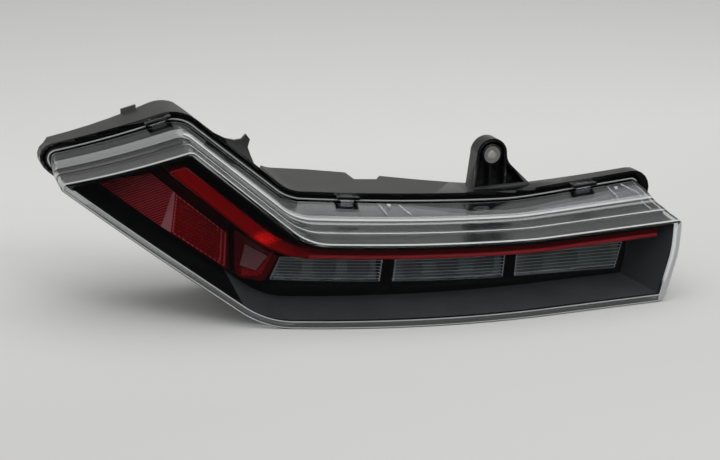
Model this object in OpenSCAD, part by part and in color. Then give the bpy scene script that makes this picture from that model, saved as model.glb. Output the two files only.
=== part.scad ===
// Tail light cluster of a car, left hand side, lying on its bottom edge.
// X runs along the lamp, Y into the car body, Z up. The lens faces -Y.

/* [Plan sweep] */
// X where the face starts to sweep back
bend_x = 112; // [90:1:130]
// Radius of the sweep along the bar
bend_r = 460; // [420:5:560]
// X where the wing starts to turn further round
wing_x = -158; // [-175:1:-140]
// Radius of that second turn
wing_r = 230; // [190:5:300]

/* [Lens outline] */
// X of the right top corner of the face
bar_right = 224.5; // [214:0.5:236]
// Height of the bar at its right end
bar_top = 64; // [60:0.5:70]
// Dip of the bar's top edge between its ends
bar_dip = 2.5; // [0:0.5:5]
// X where the bar turns up into the wing
bend_at = -62; // [-68:0.5:-56]
// X of the wing's upper corner
peak_x = -137.5; // [-143:0.5:-131]
// Height of the wing's upper corner
peak_z = 132.5; // [126:0.5:140]
// X of the wing's left tip
tip_x = -226.5; // [-236:0.5:-220]
// Height of the wing's left tip
tip_z = 98; // [95:0.5:104]
// X where the flat bottom turns up to the wing
foot_x = -94; // [-100:0.5:-88]
// Lean of the right end between its top and its foot
end_lean = 12.5; // [8:0.5:16]

/* [Lens shell] */
// Wall of the clear lens
lens_wall = 2.8; // [2.2:0.1:3.4]
// Depth of the stepped skirt from face to flange
skirt_d = 57; // [52:0.5:64]
// Length of the lens foot in the sealing groove
foot_len = 6; // [5:0.5:8]

/* [Housing] */
// Wall of the housing
wall = 2.6; // [2.2:0.1:3.2]
// Depth of the sealing groove
groove_d = 8.5; // [7.5:0.5:10]
// Least depth of the rear wall behind the face
back_min = 78; // [76:1:90]
// Extra depth of the rear wall behind the bend
back_bulge = 42; // [30:1:52]

/* [Bezel] */
// Depth of the dark floor that carries the lenses
floor_d = 42; // [38:0.5:45]
// Wall of the bezel
bezel_wall = 2.2; // [1.8:0.1:2.6]
// Rim of clear lens left open below and beside the bezel
open_rim = 6.5; // [5:0.5:8]

/* [Lamps] */
// Height of the light blade's lit edge
blade_h = 8; // [6.5:0.5:9]
// Width of the light blade along the diagonal
blade_w = 11.5; // [10:0.5:13]
// Height of the signal windows at the left end
window_h = 18; // [15:0.5:20]
// Gap between two signal windows
window_gap = 9; // [7:0.5:12]
// Flutes in one signal window
flutes = 8; // [6:1:9]
// Thickness of a circuit board
board_t = 1.6; // [1:0.2:2.4]
// Width of one light source package
led_w = 3.5; // [2.5:0.5:4]

/* [Fixing] */
// X of the fixing ear
ear_x = 96; // [88:1:106]
// Height of the bush above the table
ear_z = 109.5; // [104:0.5:116]
// Bore of the steel bush
bush_bore = 7; // [6:0.1:8.5]
// Wall of the steel bush
bush_wall = 3; // [2:0.25:3.5]
// Length of the steel bush
bush_len = 14; // [11:0.5:16]
// Diameter of the rear studs
stud_dia = 6; // [5:0.5:8]
// Length of a stud behind its boss
stud_len = 24; // [16:1:32]

/* [Fits] */
// Clearance between pieces that seat on each other
fit = 0.3; // [0.2:0.05:0.4]

/* [Hidden] */
// Y of the foremost line of the face
front_y = -104;
$fn = 48;

// Depth of the face behind its foremost point, at one x
function sweep_y(x) = front_y + pow(max(0, bend_x - x), 2) / (2 * bend_r)
    + pow(max(0, wing_x - x), 2) / (2 * wing_r);

right_foot = bar_right - end_lean;
// Corner table of the lens face: x, z and radius, counter-clockwise from the left tip
face = [
    [tip_x, tip_z, 4],
    [foot_x, 0, 60],
    [right_foot, 0, 7],
    [bar_right - 1.5, bar_top * 0.6, 80],
    [bar_right, bar_top, 3.5],
    [105, bar_top - bar_dip, 400],
    [bend_at, bar_top + 1.5, 40],
    [peak_x, peak_z, 6]
];
// Segments in each corner, and straight steps after it
CORNER_N = [6, 7, 6, 3, 6, 2, 7, 7];
EDGE_N = [7, 10, 1, 1, 4, 6, 4, 5];

// How far each corner moves between the face and the flange, and its radius there
flange_grow = [[-2.5, 9.3, 8], [4, 5.6, 58], [-7, 5.6, 8], [-10, 7, 80],
    [-9.5, 19, 5], [7, 15, 300], [1, 19, 30], [4, 13.8, 18]];
flange = [for (i = [0:7]) [face[i][0] + flange_grow[i][0], face[i][1] + flange_grow[i][1],
    flange_grow[i][2]]];

function xz(v) = [v[0], v[1]];
function unit(v) = v / norm(v);
function out_of(a, b) = let(e = unit(xz(b) - xz(a))) [e[1], -e[0]];
function cross2(a, b) = a[0] * b[1] - a[1] * b[0];

// One corner moved so that its two edges shift outward by o1 and o2
function miter(n1, n2, o1, o2) = let(c = n1 * n2)
    c > 0.995 ? (o1 + o2) / 2 * (n1 + n2) / (1 + c)
    : ((o1 - c * o2) * n1 + (o2 - c * o1) * n2) / (1 - c * c);

// Corner table with edge i moved outward by offs[i], or all edges by one number
function pushed(v, offs) = let(n = len(v))
    [for (i = [0:n - 1])
        let(a = v[(i + n - 1) % n], b = v[i], c = v[(i + 1) % n],
            n1 = out_of(a, b), n2 = out_of(b, c),
            o1 = is_num(offs) ? offs : offs[(i + n - 1) % n],
            o2 = is_num(offs) ? offs : offs[i],
            m = miter(n1, n2, o1, o2),
            side = cross2(n1, n2) > 0 ? 1 : -1)
        [b[0] + m[0], b[1] + m[1], max(0.6, b[2] + side * (o1 + o2) / 2)]];

function blend(a, b, g) = [for (i = [0:len(a) - 1]) a[i] + (b[i] - a[i]) * g];

// Points round one corner
function corner(a, b, c, n) =
    let(d1 = unit(xz(b) - xz(a)), d2 = unit(xz(c) - xz(b)),
        side = cross2(d1, d2) > 0 ? 1 : -1,
        turn = acos(min(1, d1 * d2)),
        p = xz(b) - d1 * b[2] * tan(turn / 2))
    [for (k = [0:n]) let(f = turn * k / n)
        p + b[2] * (d1 * sin(f) + side * [-d1[1], d1[0]] * (1 - cos(f)))];

// Closed ring of points with rounded corners, and steps along the straight edges
function ring(v, cn = CORNER_N, en = EDGE_N) = let(n = len(v),
    arcs = [for (i = [0:n - 1]) corner(v[(i + n - 1) % n], v[i], v[(i + 1) % n], cn[i])])
    [for (i = [0:n - 1])
        let(s = arcs[i][cn[i]], e = arcs[(i + 1) % n][0])
        each concat(arcs[i], [for (k = [1:1:en[i] - 1]) s + (e - s) * k / en[i]])];

// Ring placed at depth d behind the swept face
function lift(r, d) = [for (p = r) [p[0], sweep_y(p[0]) + d, p[1]]];
// Depth of the rear wall at one x
function back_d(x) = back_min + back_bulge * exp(-pow((x + 58) / 110, 2));
function lift_back(r, d) = [for (p = r) [p[0], sweep_y(p[0]) + back_d(p[0]) + d, p[1]]];

function argmin(r, s) = let(m = min([for (p = r) s * p[0]]))
    [for (i = [0:len(r) - 1]) if (s * r[i][0] == m) i][0];
function zip(r, b, t, i = 0, j = 0, acc = []) =
    i == len(b) - 1 && j == len(t) - 1 ? acc
    : j == len(t) - 1 || (i < len(b) - 1 && r[b[i + 1]][0] <= r[t[j + 1]][0])
        ? zip(r, b, t, i + 1, j, concat(acc, [[b[i], b[i + 1], t[j]]]))
        : zip(r, b, t, i, j + 1, concat(acc, [[b[i], t[j + 1], t[j]]]));
// Triangles that close a ring, from its left end to its right end
function cap(r, base, flip) = let(n = len(r), l = argmin(r, 1), k = (argmin(r, -1) - l + n) % n,
    b = [for (i = [0:k]) (l + i) % n],
    t = [for (i = [0:n - k]) (l - i + n) % n])
    [for (f = zip(r, b, t)) if (f[0] != f[1] && f[1] != f[2] && f[0] != f[2])
        flip ? [base + f[1], base + f[0], base + f[2]] : [base + f[0], base + f[1], base + f[2]]];

// Solid through a list of rings, from a cap that faces -Y to one that faces +Y, or closed on itself
module loft(rings, closed = false) {
    n = len(rings[0]);
    m = len(rings);
    skin = [for (j = [0:closed ? m - 1 : m - 2]) for (i = [0:n - 1])
        let(a = j * n + i, b = j * n + (i + 1) % n,
            c = ((j + 1) % m) * n + (i + 1) % n, d = ((j + 1) % m) * n + i)
        each [[a, b, c], [a, c, d]]];
    caps = closed ? [] : concat(cap(rings[0], 0, true), cap(rings[m - 1], (m - 1) * n, false));
    polyhedron(points = [for (r = rings) each r], faces = concat(skin, caps), convexity = 8);
}

// Outward shift of one edge line of the face, as a height at one x
function edge_z(i, off, x) = let(a = face[i], b = face[(i + 1) % 8], n = out_of(a, b))
    a[1] + (b[1] - a[1]) * (x - a[0]) / (b[0] - a[0]) + off / n[1];
// Corner i of the face, with the edge before it moved by o1 and the edge after it by o2
function face_corner(i, o1, o2) = let(a = face[(i + 7) % 8], b = face[i], c = face[(i + 1) % 8])
    xz(b) + miter(out_of(a, b), out_of(b, c), o1, o2);
function vert(p, r) = [p[0], p[1], r];

// Steps along each edge of a small outline, by its run in x, as the sweep bends only that way
function steps(v) = let(n = len(v))
    [for (i = [0:n - 1]) max(1, ceil(abs(v[(i + 1) % n][0] - v[i][0]) / 24))];

// Plate between two depths behind the face, with a small bevel round its front
module slab(v, d0, d1, edge = 0.6, arc = 3) {
    cn = [for (p = v) arc];
    en = steps(v);
    loft([lift(ring(pushed(v, -edge), cn, en), d0), lift(ring(v, cn, en), d0 + edge),
        lift(ring(v, cn, en), d1)]);
}
// Straight cutter along Y with the outline v
module cutter(v, arc = 3) {
    translate([0, 300, 0]) rotate([90, 0, 0]) linear_extrude(600)
    polygon(arc == 0 ? [for (p = v) xz(p)] : ring(v, [for (p = v) arc], [for (p = v) 1]));
}

// Stepped skirt: depth as a share of skirt_d, and growth from the face to the flange
SKIRT = [[0.03, 0], [0.33, 0.13], [0.36, 0.22], [0.6, 0.33], [0.67, 0.62], [0.94, 0.97], [1, 1]];

// Outline of the skirt's outer surface at one row of the profile
function skirt(k, off) = ring(pushed(blend(face, flange, SKIRT[k][1]), off));

lip = 1.8;
module lens_shell() {
    k = len(SKIRT) - 1;
    edge = 1.2;
    outside = [for (i = [0:k]) lift(skirt(i, 0), max(edge, SKIRT[i][0] * skirt_d))];
    inside = [for (i = [k:-1:0]) lift(skirt(i, -lens_wall), max(lens_wall, SKIRT[i][0] * skirt_d))];
    loft(concat(
        [lift(skirt(0, -edge), 0)],
        outside,
        [lift(skirt(k, lip), skirt_d), lift(skirt(k, lip), skirt_d + 1.2),
            lift(skirt(k, 0), skirt_d + 1.2), lift(skirt(k, 0), skirt_d + foot_len),
            lift(skirt(k, -lens_wall), skirt_d + foot_len)],
        inside));
}

groove_in = lens_wall + 0.6;
groove_out = 3.2;
rim_t = 2.4;
groove_front = skirt_d + 2;
groove_back = groove_front + groove_d - 1.5;
rim_lobe = 9;
// The housing's rim runs wider round the right top corner
rim = [for (i = [0:7]) flange[i] + (i == 4 ? [rim_lobe, 1, 4] : [0, 0, 0])];
back_in = 9;
back = pushed(flange, [-back_in, -4, -8, -7, -back_in, -back_in, -back_in, -back_in]);

// Depth of the rim's back edge where it carries no shelf
rim_back = groove_back + wall + 0.5;
// How far the shelf runs past that behind the bend, and how it fades along the bar
shelf_long = 62;
shelf_x = bend_at + 17;
shelf_fade = 113;
// Depth of the shelf's back edge over one x
function shelf_d(x) = x > bend_at - 10 ? rim_back + shelf_long * exp(-pow((x - shelf_x) / shelf_fade, 2))
    : back_d(x) - 4;
// Depth of the rim's back edge all round: long on the bar and on the wing's top edge only
function shelf(r) = let(n = len(r)) [for (i = [0:n - 1])
    let(t = unit(r[(i + 1) % n] - r[(i + n - 1) % n]),
        up = min(1, max(0, (-t[0] - 0.82) / 0.08)))
    rim_back + up * (shelf_d(r[i][0]) - rim_back)];
function lift_shelf(r, s) = [for (i = [0:len(r) - 1])
    [r[i][0], sweep_y(r[i][0]) + s[i], r[i][1]]];

module tub() {
    outer = ring(pushed(rim, groove_out + rim_t));
    reach = shelf(outer);
    under = ring(pushed(flange, groove_out));
    loft([
        lift_back(ring(pushed(back, -wall)), -wall),
        lift(ring(pushed(flange, -groove_in - wall)), groove_back + 8),
        lift(ring(pushed(flange, -groove_in - wall)), groove_front),
        lift(ring(pushed(flange, -groove_in)), groove_front),
        lift(ring(pushed(flange, -groove_in)), groove_back),
        lift(under, groove_back),
        lift(under, groove_front - 0.6),
        lift(outer, groove_front - 0.6),
        lift_shelf(outer, reach),
        lift_shelf(under, reach),
        lift(under, groove_back + wall),
        lift(ring(pushed(flange, -groove_in)), groove_back + wall),
        lift(ring(pushed(flange, -groove_in)), groove_back + 8),
        lift_back(ring(back), 0)
    ]);
}

// Y of the rear wall's outer face, and its slope in plan
function rear_y(x) = sweep_y(x) + back_d(x);
function rear_slope(x) = (rear_y(x + 1) - rear_y(x - 1)) / 2;

// Round boss through the rear wall, from inside the cavity to a flat outer end
module rear_boss(x, z, r, stand) {
    tilt = abs(rear_slope(x)) * r;
    translate([x, rear_y(x) - tilt - wall, z]) rotate([-90, 0, 0])
    cylinder(r = r, h = 2 * tilt + wall + stand);
}
function boss_end(x, r, stand) = rear_y(x) + abs(rear_slope(x)) * r + stand;

module lens_seal() {
    a = ring(pushed(flange, groove_out - fit));
    b = ring(pushed(flange, -groove_in + fit));
    color("black") loft([
        lift(b, skirt_d + foot_len + fit), lift(a, skirt_d + foot_len + fit),
        lift(a, groove_back - fit), lift(b, groove_back - fit)], closed = true);
}

// Bezel: a dark ring behind the skirt, a sloping deck and a floor with openings
lens_gap = 0.6;
bezel_top = lens_wall + lens_gap + 1.6;
bezel_front_d = lens_wall + 1.2;
bezel_front = pushed(face, [-open_rim, -open_rim, -open_rim, -open_rim,
    -bezel_top, -bezel_top, -bezel_top, -bezel_top]);
deck = [-17, -12.5, -20, -24, -bezel_top, -bezel_top, -bezel_top, -bezel_top - 2];
bezel_back = pushed(face, deck);
// One shift for the four lower edges and another for the four upper ones
function split(low, high) = [for (i = [0:7]) i < 4 ? low : high];

// Light blade: parallel to the top edge of the bar and to the diagonal
blade_top = bezel_top + 1;
blade_in = 12;
blade_d = 10;
blade_end = 59;
blade_stop = 16;
blade_low = blade_top + blade_h;
bl_hi = pushed(face, [0, 0, 0, -blade_stop, -blade_top, -blade_top, -blade_in, -blade_in]);
bl_lo = pushed(face, [0, 0, 0, -blade_stop, -blade_low, -blade_low, -blade_in - blade_w, -blade_in]);
blade_line = [vert(bl_lo[7], 1.5), bl_lo[6], bl_lo[5], vert(bl_lo[4], 1.5), vert(bl_hi[4], 1.5),
    bl_hi[5], bl_hi[6], vert(bl_hi[7], 1.5)];
// Strip along the blade's lower edge, which stands out in front
strip_h = 2.4;
strip_out = 2.5;
strip_in = 1;
strip_edge = 0.4;
function strip_at(up) = pushed(face, [0, 0, 0, -blade_stop - strip_in, up - blade_low, up - blade_low,
    up - blade_in - blade_w, -blade_in - strip_in]);
st_lo = strip_at(strip_in);
st_hi = strip_at(strip_in + strip_h);
strip_line = [vert(st_lo[7], 0.8), st_lo[6], st_lo[5], vert(st_lo[4], 0.8), vert(st_hi[4], 0.8),
    st_hi[5], st_hi[6], vert(st_hi[7], 0.8)];
module light_blade() {
    edge = 0.8;
    cn = [for (p = blade_line) 3];
    en = steps(blade_line);
    function at(v, d) = lift(ring(v, cn, en), d);
    color("red") loft([
        at(pushed(strip_line, -strip_edge), blade_d - strip_out),
        at(strip_line, blade_d - strip_out + strip_edge),
        at(strip_line, blade_d),
        at(pushed(blade_line, -edge), blade_d),
        at(blade_line, blade_d + edge),
        at(blade_line, blade_end)
    ]);
}

// Signal windows: three slanted panes between the stop lamp and the end wall
win_l = bend_at - 9;
win_r = bar_right - 29;
win_top = bar_top - 20.5;
win_fall = 5.5;
win_grow = 3;
win_share = [0.295, 0.343, 0.362];
win_lean = [[7.5, 2.5], [2, 2], [1.5, 6]];
win_d = 41;
win_t = 4;
win_net = win_r - win_l - 2 * window_gap;
function win_x(i) = win_l + (i == 0 ? 0 : win_x(i - 1) - win_l + win_net * win_share[i - 1] + window_gap);
function win_u(x) = (x - win_l) / (win_r - win_l);
function win_zt(x) = win_top - win_fall * win_u(x);
function win_zb(x) = win_zt(x) - window_h - win_grow * win_u(x);
function window(i) = let(a = win_x(i), b = a + win_net * win_share[i], l = win_lean[i])
    [[a - l[0], win_zb(a), 0], [b - l[1], win_zb(b), 0], [b, win_zt(b), 0], [a, win_zt(a), 0]];

// Clear pane with horizontal flutes on its front
module signal_pane(i) {
    w = window(i);
    nx = 3;
    sub = 3;
    nz = flutes * sub;
    function at(u, v) = (w[0] * (1 - u) + w[1] * u) * (1 - v) + (w[3] * (1 - u) + w[2] * u) * v;
    function place(p, d) = [p[0], sweep_y(p[0]) + d, p[1]];
    row = nx + 1;
    base = row * (nz + 1);
    front = [for (j = [0:nz]) for (i = [0:nx]) let(s = (j % sub) / sub)
        place(at(i / nx, j / nz), win_d + 1.2 - 4.8 * s * (1 - s))];
    rear = [for (j = [0:nz]) for (i = [0:nx]) place(at(i / nx, j / nz), win_d + win_t)];
    grid = [for (j = [0:nz - 1]) for (i = [0:nx - 1]) let(a = j * row + i)
        each [[a, a + row, a + row + 1], [a, a + row + 1, a + 1],
            [base + a, base + a + 1, base + a + row + 1], [base + a, base + a + row + 1, base + a + row]]];
    ends = [for (j = [0:nz - 1]) let(a = j * row, b = a + nx)
        each [[a, base + a, base + a + row], [a, base + a + row, a + row],
            [b, b + row, base + b + row], [b, base + b + row, base + b]]];
    t = nz * row;
    sides = [for (i = [0:nx - 1])
        each [[i, i + 1, base + i + 1], [i, base + i + 1, base + i],
            [t + i, base + t + i, base + t + i + 1], [t + i, base + t + i + 1, t + i + 1]]];
    color("lightgray", 0.5) polyhedron(points = concat(front, rear), faces = concat(grid, ends, sides));
}

// Straight module frame behind one span of the face, for boards and reflectors
module on_chord(xa, xb, d) {
    translate([(xa + xb) / 2, (sweep_y(xa) + sweep_y(xb)) / 2 + d, 0])
    rotate([0, 0, atan2(sweep_y(xb) - sweep_y(xa), xb - xa)]) children();
}
function chord_x(xa, xb, d, u, v) = let(t = atan2(sweep_y(xb) - sweep_y(xa), xb - xa))
    (xa + xb) / 2 + u * cos(t) - v * sin(t);
function chord_y(xa, xb, d, u, v) = let(t = atan2(sweep_y(xb) - sweep_y(xa), xb - xa))
    (sweep_y(xa) + sweep_y(xb)) / 2 + d + u * sin(t) + v * cos(t);
// Length of a line from the chord frame to the rear wall
function chord_reach(xa, xb, d, u, v = 30, k = 6) = k == 0 ? v
    : chord_reach(xa, xb, d, u, v + rear_y(chord_x(xa, xb, d, u, v)) - chord_y(xa, xb, d, u, v), k - 1);

// Signal modules: reflector, board and sources behind each window
refl_t = 16;
board_z0 = 17;
board_z1 = blade_mid() + 4;
function blade_mid() = bar_top - blade_top - blade_h / 2;
function win_a(i) = window(i)[0][0];
function win_b(i) = window(i)[2][0];
function half(i) = (win_b(i) - win_a(i)) / 2 - 2;
cups = 3;
cup_r = 9;
mod_d = win_d + win_t + fit;
board_y = refl_t + fit;
screw_r = 1.25;
screw_z = win_top + 3.4;
function cup_x(i, k) = (k - (cups - 1) / 2) * 2 * half(i) / cups;
function mid_zb(i) = (win_zb(win_a(i)) + win_zb(win_b(i))) / 2;
function mid_zt(i) = (win_zt(win_a(i)) + win_zt(win_b(i))) / 2;
module reflector_cup(i) {
    zc = (mid_zt(i) + mid_zb(i)) / 2;
    color("silver") on_chord(win_a(i), win_b(i), mod_d)
    difference() {
        translate([-half(i), 0, mid_zb(i)]) cube([2 * half(i), refl_t, mid_zt(i) - mid_zb(i)]);
        for (k = [0:cups - 1]) translate([cup_x(i, k), -0.01, zc]) rotate([-90, 0, 0])
        rotate_extrude() polygon(concat([[0, 0]],
            [for (s = [0:0.2:1]) [3.2 + (cup_r - 3.2) * sqrt(1 - s), s * (refl_t - 2)]],
            [[3.2, refl_t + 1], [0, refl_t + 1]]));
    }
}
function screw_u(i) = [for (s = [-1, 1]) s * half(i) * 0.62];
module board(i) {
    color("darkgreen") on_chord(win_a(i), win_b(i), mod_d)
    difference() {
        translate([-half(i), board_y, board_z0])
        cube([2 * half(i), board_t, board_z1 - board_z0]);
        for (u = screw_u(i)) translate([u, board_y - 1, screw_z]) rotate([-90, 0, 0])
        cylinder(r = screw_r + 0.15, h = board_t + 2);
    }
}
module board_sources(i) {
    zc = (mid_zt(i) + mid_zb(i)) / 2;
    on_chord(win_a(i), win_b(i), mod_d) {
        for (k = [0:cups - 1]) translate([cup_x(i, k) - led_w / 2, board_y - 2, zc - led_w / 2])
        cube([led_w, 2, led_w]);
        for (k = [-1.5:1:1.5]) translate([k * half(i) / 2 - led_w / 2, board_y - 2, blade_mid() - led_w / 2])
        cube([led_w, 2, led_w]);
    }
}
module self_tapper(len) {
    rotate([-90, 0, 0]) {
        translate([0, 0, -1.8]) cylinder(r = 2.4, h = 1.8);
        cylinder(r = screw_r, h = len);
    }
}

// Stop lamp between the reflex reflector and the first window
stop_l = bend_at - 42;
stop_d = 34;
stop_line = [[stop_l, 29.5, 7], [win_l - 13, win_zb(win_l) + 1, 4], [win_l - 3, win_top + 2, 1.5],
    [win_l - 8, win_top + 6, 1.5], [stop_l, edge_z(6, -blade_in - blade_w - 3.5, stop_l), 1.5]];
stop_a = stop_l + 3;
stop_b = win_l - 9;
stop_z = (win_top + win_zb(win_l)) / 2;
stop_half = 10;
// Raised facet on the stop lens, counter-clockwise from its lower left corner
facet = [[stop_l + 2, stop_z + 4.4, 1], [stop_l + 14, stop_z, 1],
    [stop_l + 23, stop_z + 13, 1], [stop_l + 6.3, stop_z + 22.5, 1]];
facet_out = 2.5;
module stop_lens() {
    color("darkred") union() {
        slab(stop_line, stop_d, win_d + win_t);
        slab(facet, stop_d - facet_out, stop_d + 2, 1.2);
    }
}
module stop_reflector() {
    color("silver") on_chord(stop_a, stop_b, mod_d)
    difference() {
        translate([-stop_half, 0, stop_z - 9]) cube([2 * stop_half, refl_t, 18]);
        translate([0, -0.01, stop_z]) rotate([-90, 0, 0])
        rotate_extrude() polygon(concat([[0, 0]],
            [for (s = [0:0.2:1]) [4 + 4 * sqrt(1 - s), s * (refl_t - 2)]],
            [[4, refl_t + 1], [0, refl_t + 1]]));
    }
}
module stop_board() {
    color("darkgreen") on_chord(stop_a, stop_b, mod_d)
    difference() {
        translate([-stop_half, board_y, stop_z - 10]) cube([2 * stop_half, board_t, 27]);
        translate([0, board_y - 1, screw_z]) rotate([-90, 0, 0])
        cylinder(r = screw_r + 0.15, h = board_t + 2);
    }
}
module stop_source() {
    on_chord(stop_a, stop_b, mod_d) translate([-led_w / 2, board_y - 2, stop_z - led_w / 2])
    cube([led_w, 2, led_w]);
}
module light_sources() {
    color("gold") {
        for (i = [0:2]) board_sources(i);
        stop_source();
    }
}
module board_screws() {
    color("gainsboro") {
        for (i = [0:2]) on_chord(win_a(i), win_b(i), mod_d)
        for (u = screw_u(i)) translate([u, board_y, screw_z]) self_tapper(10);
        on_chord(stop_a, stop_b, mod_d) translate([0, board_y, screw_z]) self_tapper(10);
    }
}

// Reflex reflector: two facets that meet at a ridge, on a dark red carrier
reflex_r = bend_at - 49;
reflex_up = blade_in + blade_w + 8.5;
reflex_low = 20;
carrier_d = 34;
carrier_up = blade_in + blade_w + 2;
carrier_low = reflex_low - 2;
carrier_r = reflex_r + 3.5;
ridge_top_x = peak_x - 9;
ridge_low_x = peak_x - 18;
// Most that a straight edge of the reflector lies behind the curved carrier
sag = 0.9;
// Corners as x, z and depth of the front face, counter-clockwise from the left
reflex_face = [
    concat(face_corner(0, -blade_in, -reflex_low), [30]),
    [ridge_low_x, edge_z(0, -reflex_low, ridge_low_x), 20],
    [reflex_r, edge_z(0, -reflex_low, reflex_r), 30],
    [reflex_r, edge_z(6, -reflex_up, reflex_r), 24],
    [ridge_top_x, edge_z(6, -reflex_up, ridge_top_x), 16],
    concat(face_corner(7, -reflex_up, -blade_in), [20])
];
function facets(inset, back) = let(p = pushed([for (q = reflex_face) vert(q, 0)], -inset))
    [for (i = [0:5]) [p[i][0], sweep_y(p[i][0]) + (back ? carrier_d - fit - sag : reflex_face[i][2] + inset),
        p[i][1]]];
module reflex_reflector() {
    t = 2.4;
    color("crimson") loft([facets(0, false), facets(0, true), facets(t, true), facets(t, false)]);
}
carrier_line = [vert(face_corner(0, -blade_in + 2, -carrier_low), 2),
    [carrier_r, edge_z(0, -carrier_low, carrier_r), 2],
    [carrier_r, edge_z(6, -carrier_up, carrier_r), 2],
    vert(face_corner(7, -carrier_up, -blade_in + 2), 2)];
module reflex_carrier() {
    t = 2.4;
    cn = [3, 3, 3, 3];
    en = steps(carrier_line);
    a = ring(carrier_line, cn, en);
    b = ring(pushed(carrier_line, -t), cn, en);
    color("maroon") loft([lift(a, carrier_d), lift(a, floor_d - 0.5), lift(b, floor_d - 0.5),
        lift(b, carrier_d + t)]);
}

// Posts that carry the bezel on the housing, between the boards
post_r = 2.4;
post_xz = [[win_x(1) - window_gap / 2 + 0.2, 30], [win_x(2) - window_gap / 2 + 0.2, 28]];
post_end = 72;
post_boss_r = 4.5;
post_stand = 2.5;
module bezel() {
    k = len(SKIRT) - 1;
    out = lens_wall + lens_gap;
    rim_gap = 1 - open_rim;
    color("#202224") difference() {
        union() {
            loft(concat([
                lift(ring(bezel_back), floor_d),
                lift(ring(bezel_front), bezel_front_d)],
                [for (i = [0:k]) lift(skirt(i, i < 2 ? split(rim_gap, -out) : -out),
                    max(bezel_front_d + 0.2, SKIRT[i][0] * skirt_d))],
                [lift(skirt(k, -out), groove_front - fit),
                    lift(skirt(k, -out - bezel_wall), groove_front - fit)],
                [for (i = [k:-1:2]) lift(skirt(i, -out - bezel_wall), SKIRT[i][0] * skirt_d)],
                [lift(skirt(1, split(rim_gap - bezel_wall, -out - bezel_wall)), SKIRT[1][0] * skirt_d),
                lift(ring(pushed(bezel_front, split(0.1, 0.9))), bezel_front_d + 4),
                lift(ring(pushed(bezel_back, bezel_wall)), floor_d + bezel_wall)]));
            for (p = post_xz) translate([p[0], sweep_y(p[0]) + floor_d + 1, p[1]]) rotate([-90, 0, 0])
            cylinder(r = post_r, h = post_end - floor_d - 1);
        }
        for (i = [0:2]) cutter(pushed(window(i), fit), 0);
        cutter(pushed(stop_line, fit));
        cutter(pushed(blade_line, fit));
        for (p = post_xz) translate([p[0], sweep_y(p[0]) + post_end - 9, p[1]]) rotate([-90, 0, 0])
        cylinder(r = screw_r, h = 20);
    }
}

// Fixing ear: an arch with a recessed plate round the steel bush
bush_r = bush_bore / 2 + bush_wall;
ear_d = 68;
ear_y = sweep_y(ear_x) + ear_d;
// Run of the ear's two foot webs over the shelf
shelf_foot = 7;
arch_r = bush_r + 6;
function line_z(a, b, x) = a[1] + (b[1] - a[1]) * (x - a[0]) / (b[0] - a[0]);
// Height of a corner table's top line and bottom line over one x
function top_z(v, x) = x < v[7][0] ? line_z(v[0], v[7], x) : x < v[6][0] ? line_z(v[7], v[6], x)
    : x < v[5][0] ? line_z(v[6], v[5], x) : line_z(v[5], v[4], x);
function low_z(v, x) = x < v[1][0] ? line_z(v[0], v[1], x) : line_z(v[1], v[2], x);
rim_line = pushed(flange, groove_out + rim_t);
function rim_z(x) = top_z(rim_line, x);

ear_leg = 4;
flare_r = 12;
flare_turn = 45;
ear_base = rim_z(ear_x);
// Side of the ear's right flare: an arc down to its turn, then straight to the shelf
function flare(inset) = let(base = ear_base - (inset > 0 ? -inset : 1.8), r = flare_r + inset,
    x0 = ear_x + arch_r + flare_r, z0 = ear_z - 1,
    x1 = x0 - r * cos(flare_turn), z1 = z0 - r * sin(flare_turn))
    concat([[x1 + (z1 - base) / tan(flare_turn), base]],
        [for (a = [flare_turn:-15:0]) [x0 - r * cos(a), z0 - r * sin(a)]]);
module ear_form(inset, y0, depth) {
    base = ear_base - (inset > 0 ? -inset : 1.8);
    translate([0, y0 + depth, 0]) rotate([90, 0, 0]) linear_extrude(depth)
    polygon(concat([[ear_x - arch_r - ear_leg + inset, base]], flare(inset),
        [[ear_x + arch_r - inset, ear_z], [ear_x - arch_r + inset, ear_z]]));
    translate([ear_x, y0, ear_z]) rotate([-90, 0, 0]) cylinder(r = arch_r - inset, h = depth);
}
module ear() {
    rim_w = 2.4;
    rib_t = 2;
    difference() {
        ear_form(0, ear_y, bush_len - 1);
        difference() {
            ear_form(rim_w, ear_y - 1, bush_len - 5);
            translate([ear_x, ear_y - 2, ear_z]) rotate([-90, 0, 0])
            cylinder(r = bush_r + 1.6, h = bush_len);
            translate([ear_x - rib_t / 2, ear_y + 3, ear_base])
            cube([rib_t, bush_len, ear_z - ear_base - bush_r]);
            translate([ear_x + arch_r - rib_t, ear_y + 1, ear_base])
            cube([rib_t, bush_len, ear_z - ear_base]);
        }
    }
    // Foot of the ear on the shelf behind it
    foot_t = 2.2;
    for (x = [ear_x - arch_r, ear_x + arch_r - foot_t])
    translate([x + foot_t, ear_y + bush_len - 2, 0]) rotate([0, -90, 0]) linear_extrude(foot_t)
    polygon([[ear_base - 1.5, 0], [ear_base - 1.5, shelf_foot], [ear_z - arch_r, 0]]);
}
module mounting_bush() {
    color("gainsboro") translate([ear_x, ear_y - 0.5, ear_z]) rotate([-90, 0, 0])
    difference() {
        cylinder(r = bush_r, h = bush_len);
        translate([0, 0, -1]) cylinder(r = bush_bore / 2, h = bush_len + 2);
    }
}

// Prism along Y through a list of x and z
module fin(pts, y0, depth) {
    translate([0, y0 + depth, 0]) rotate([90, 0, 0]) linear_extrude(depth) polygon(pts);
}

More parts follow.
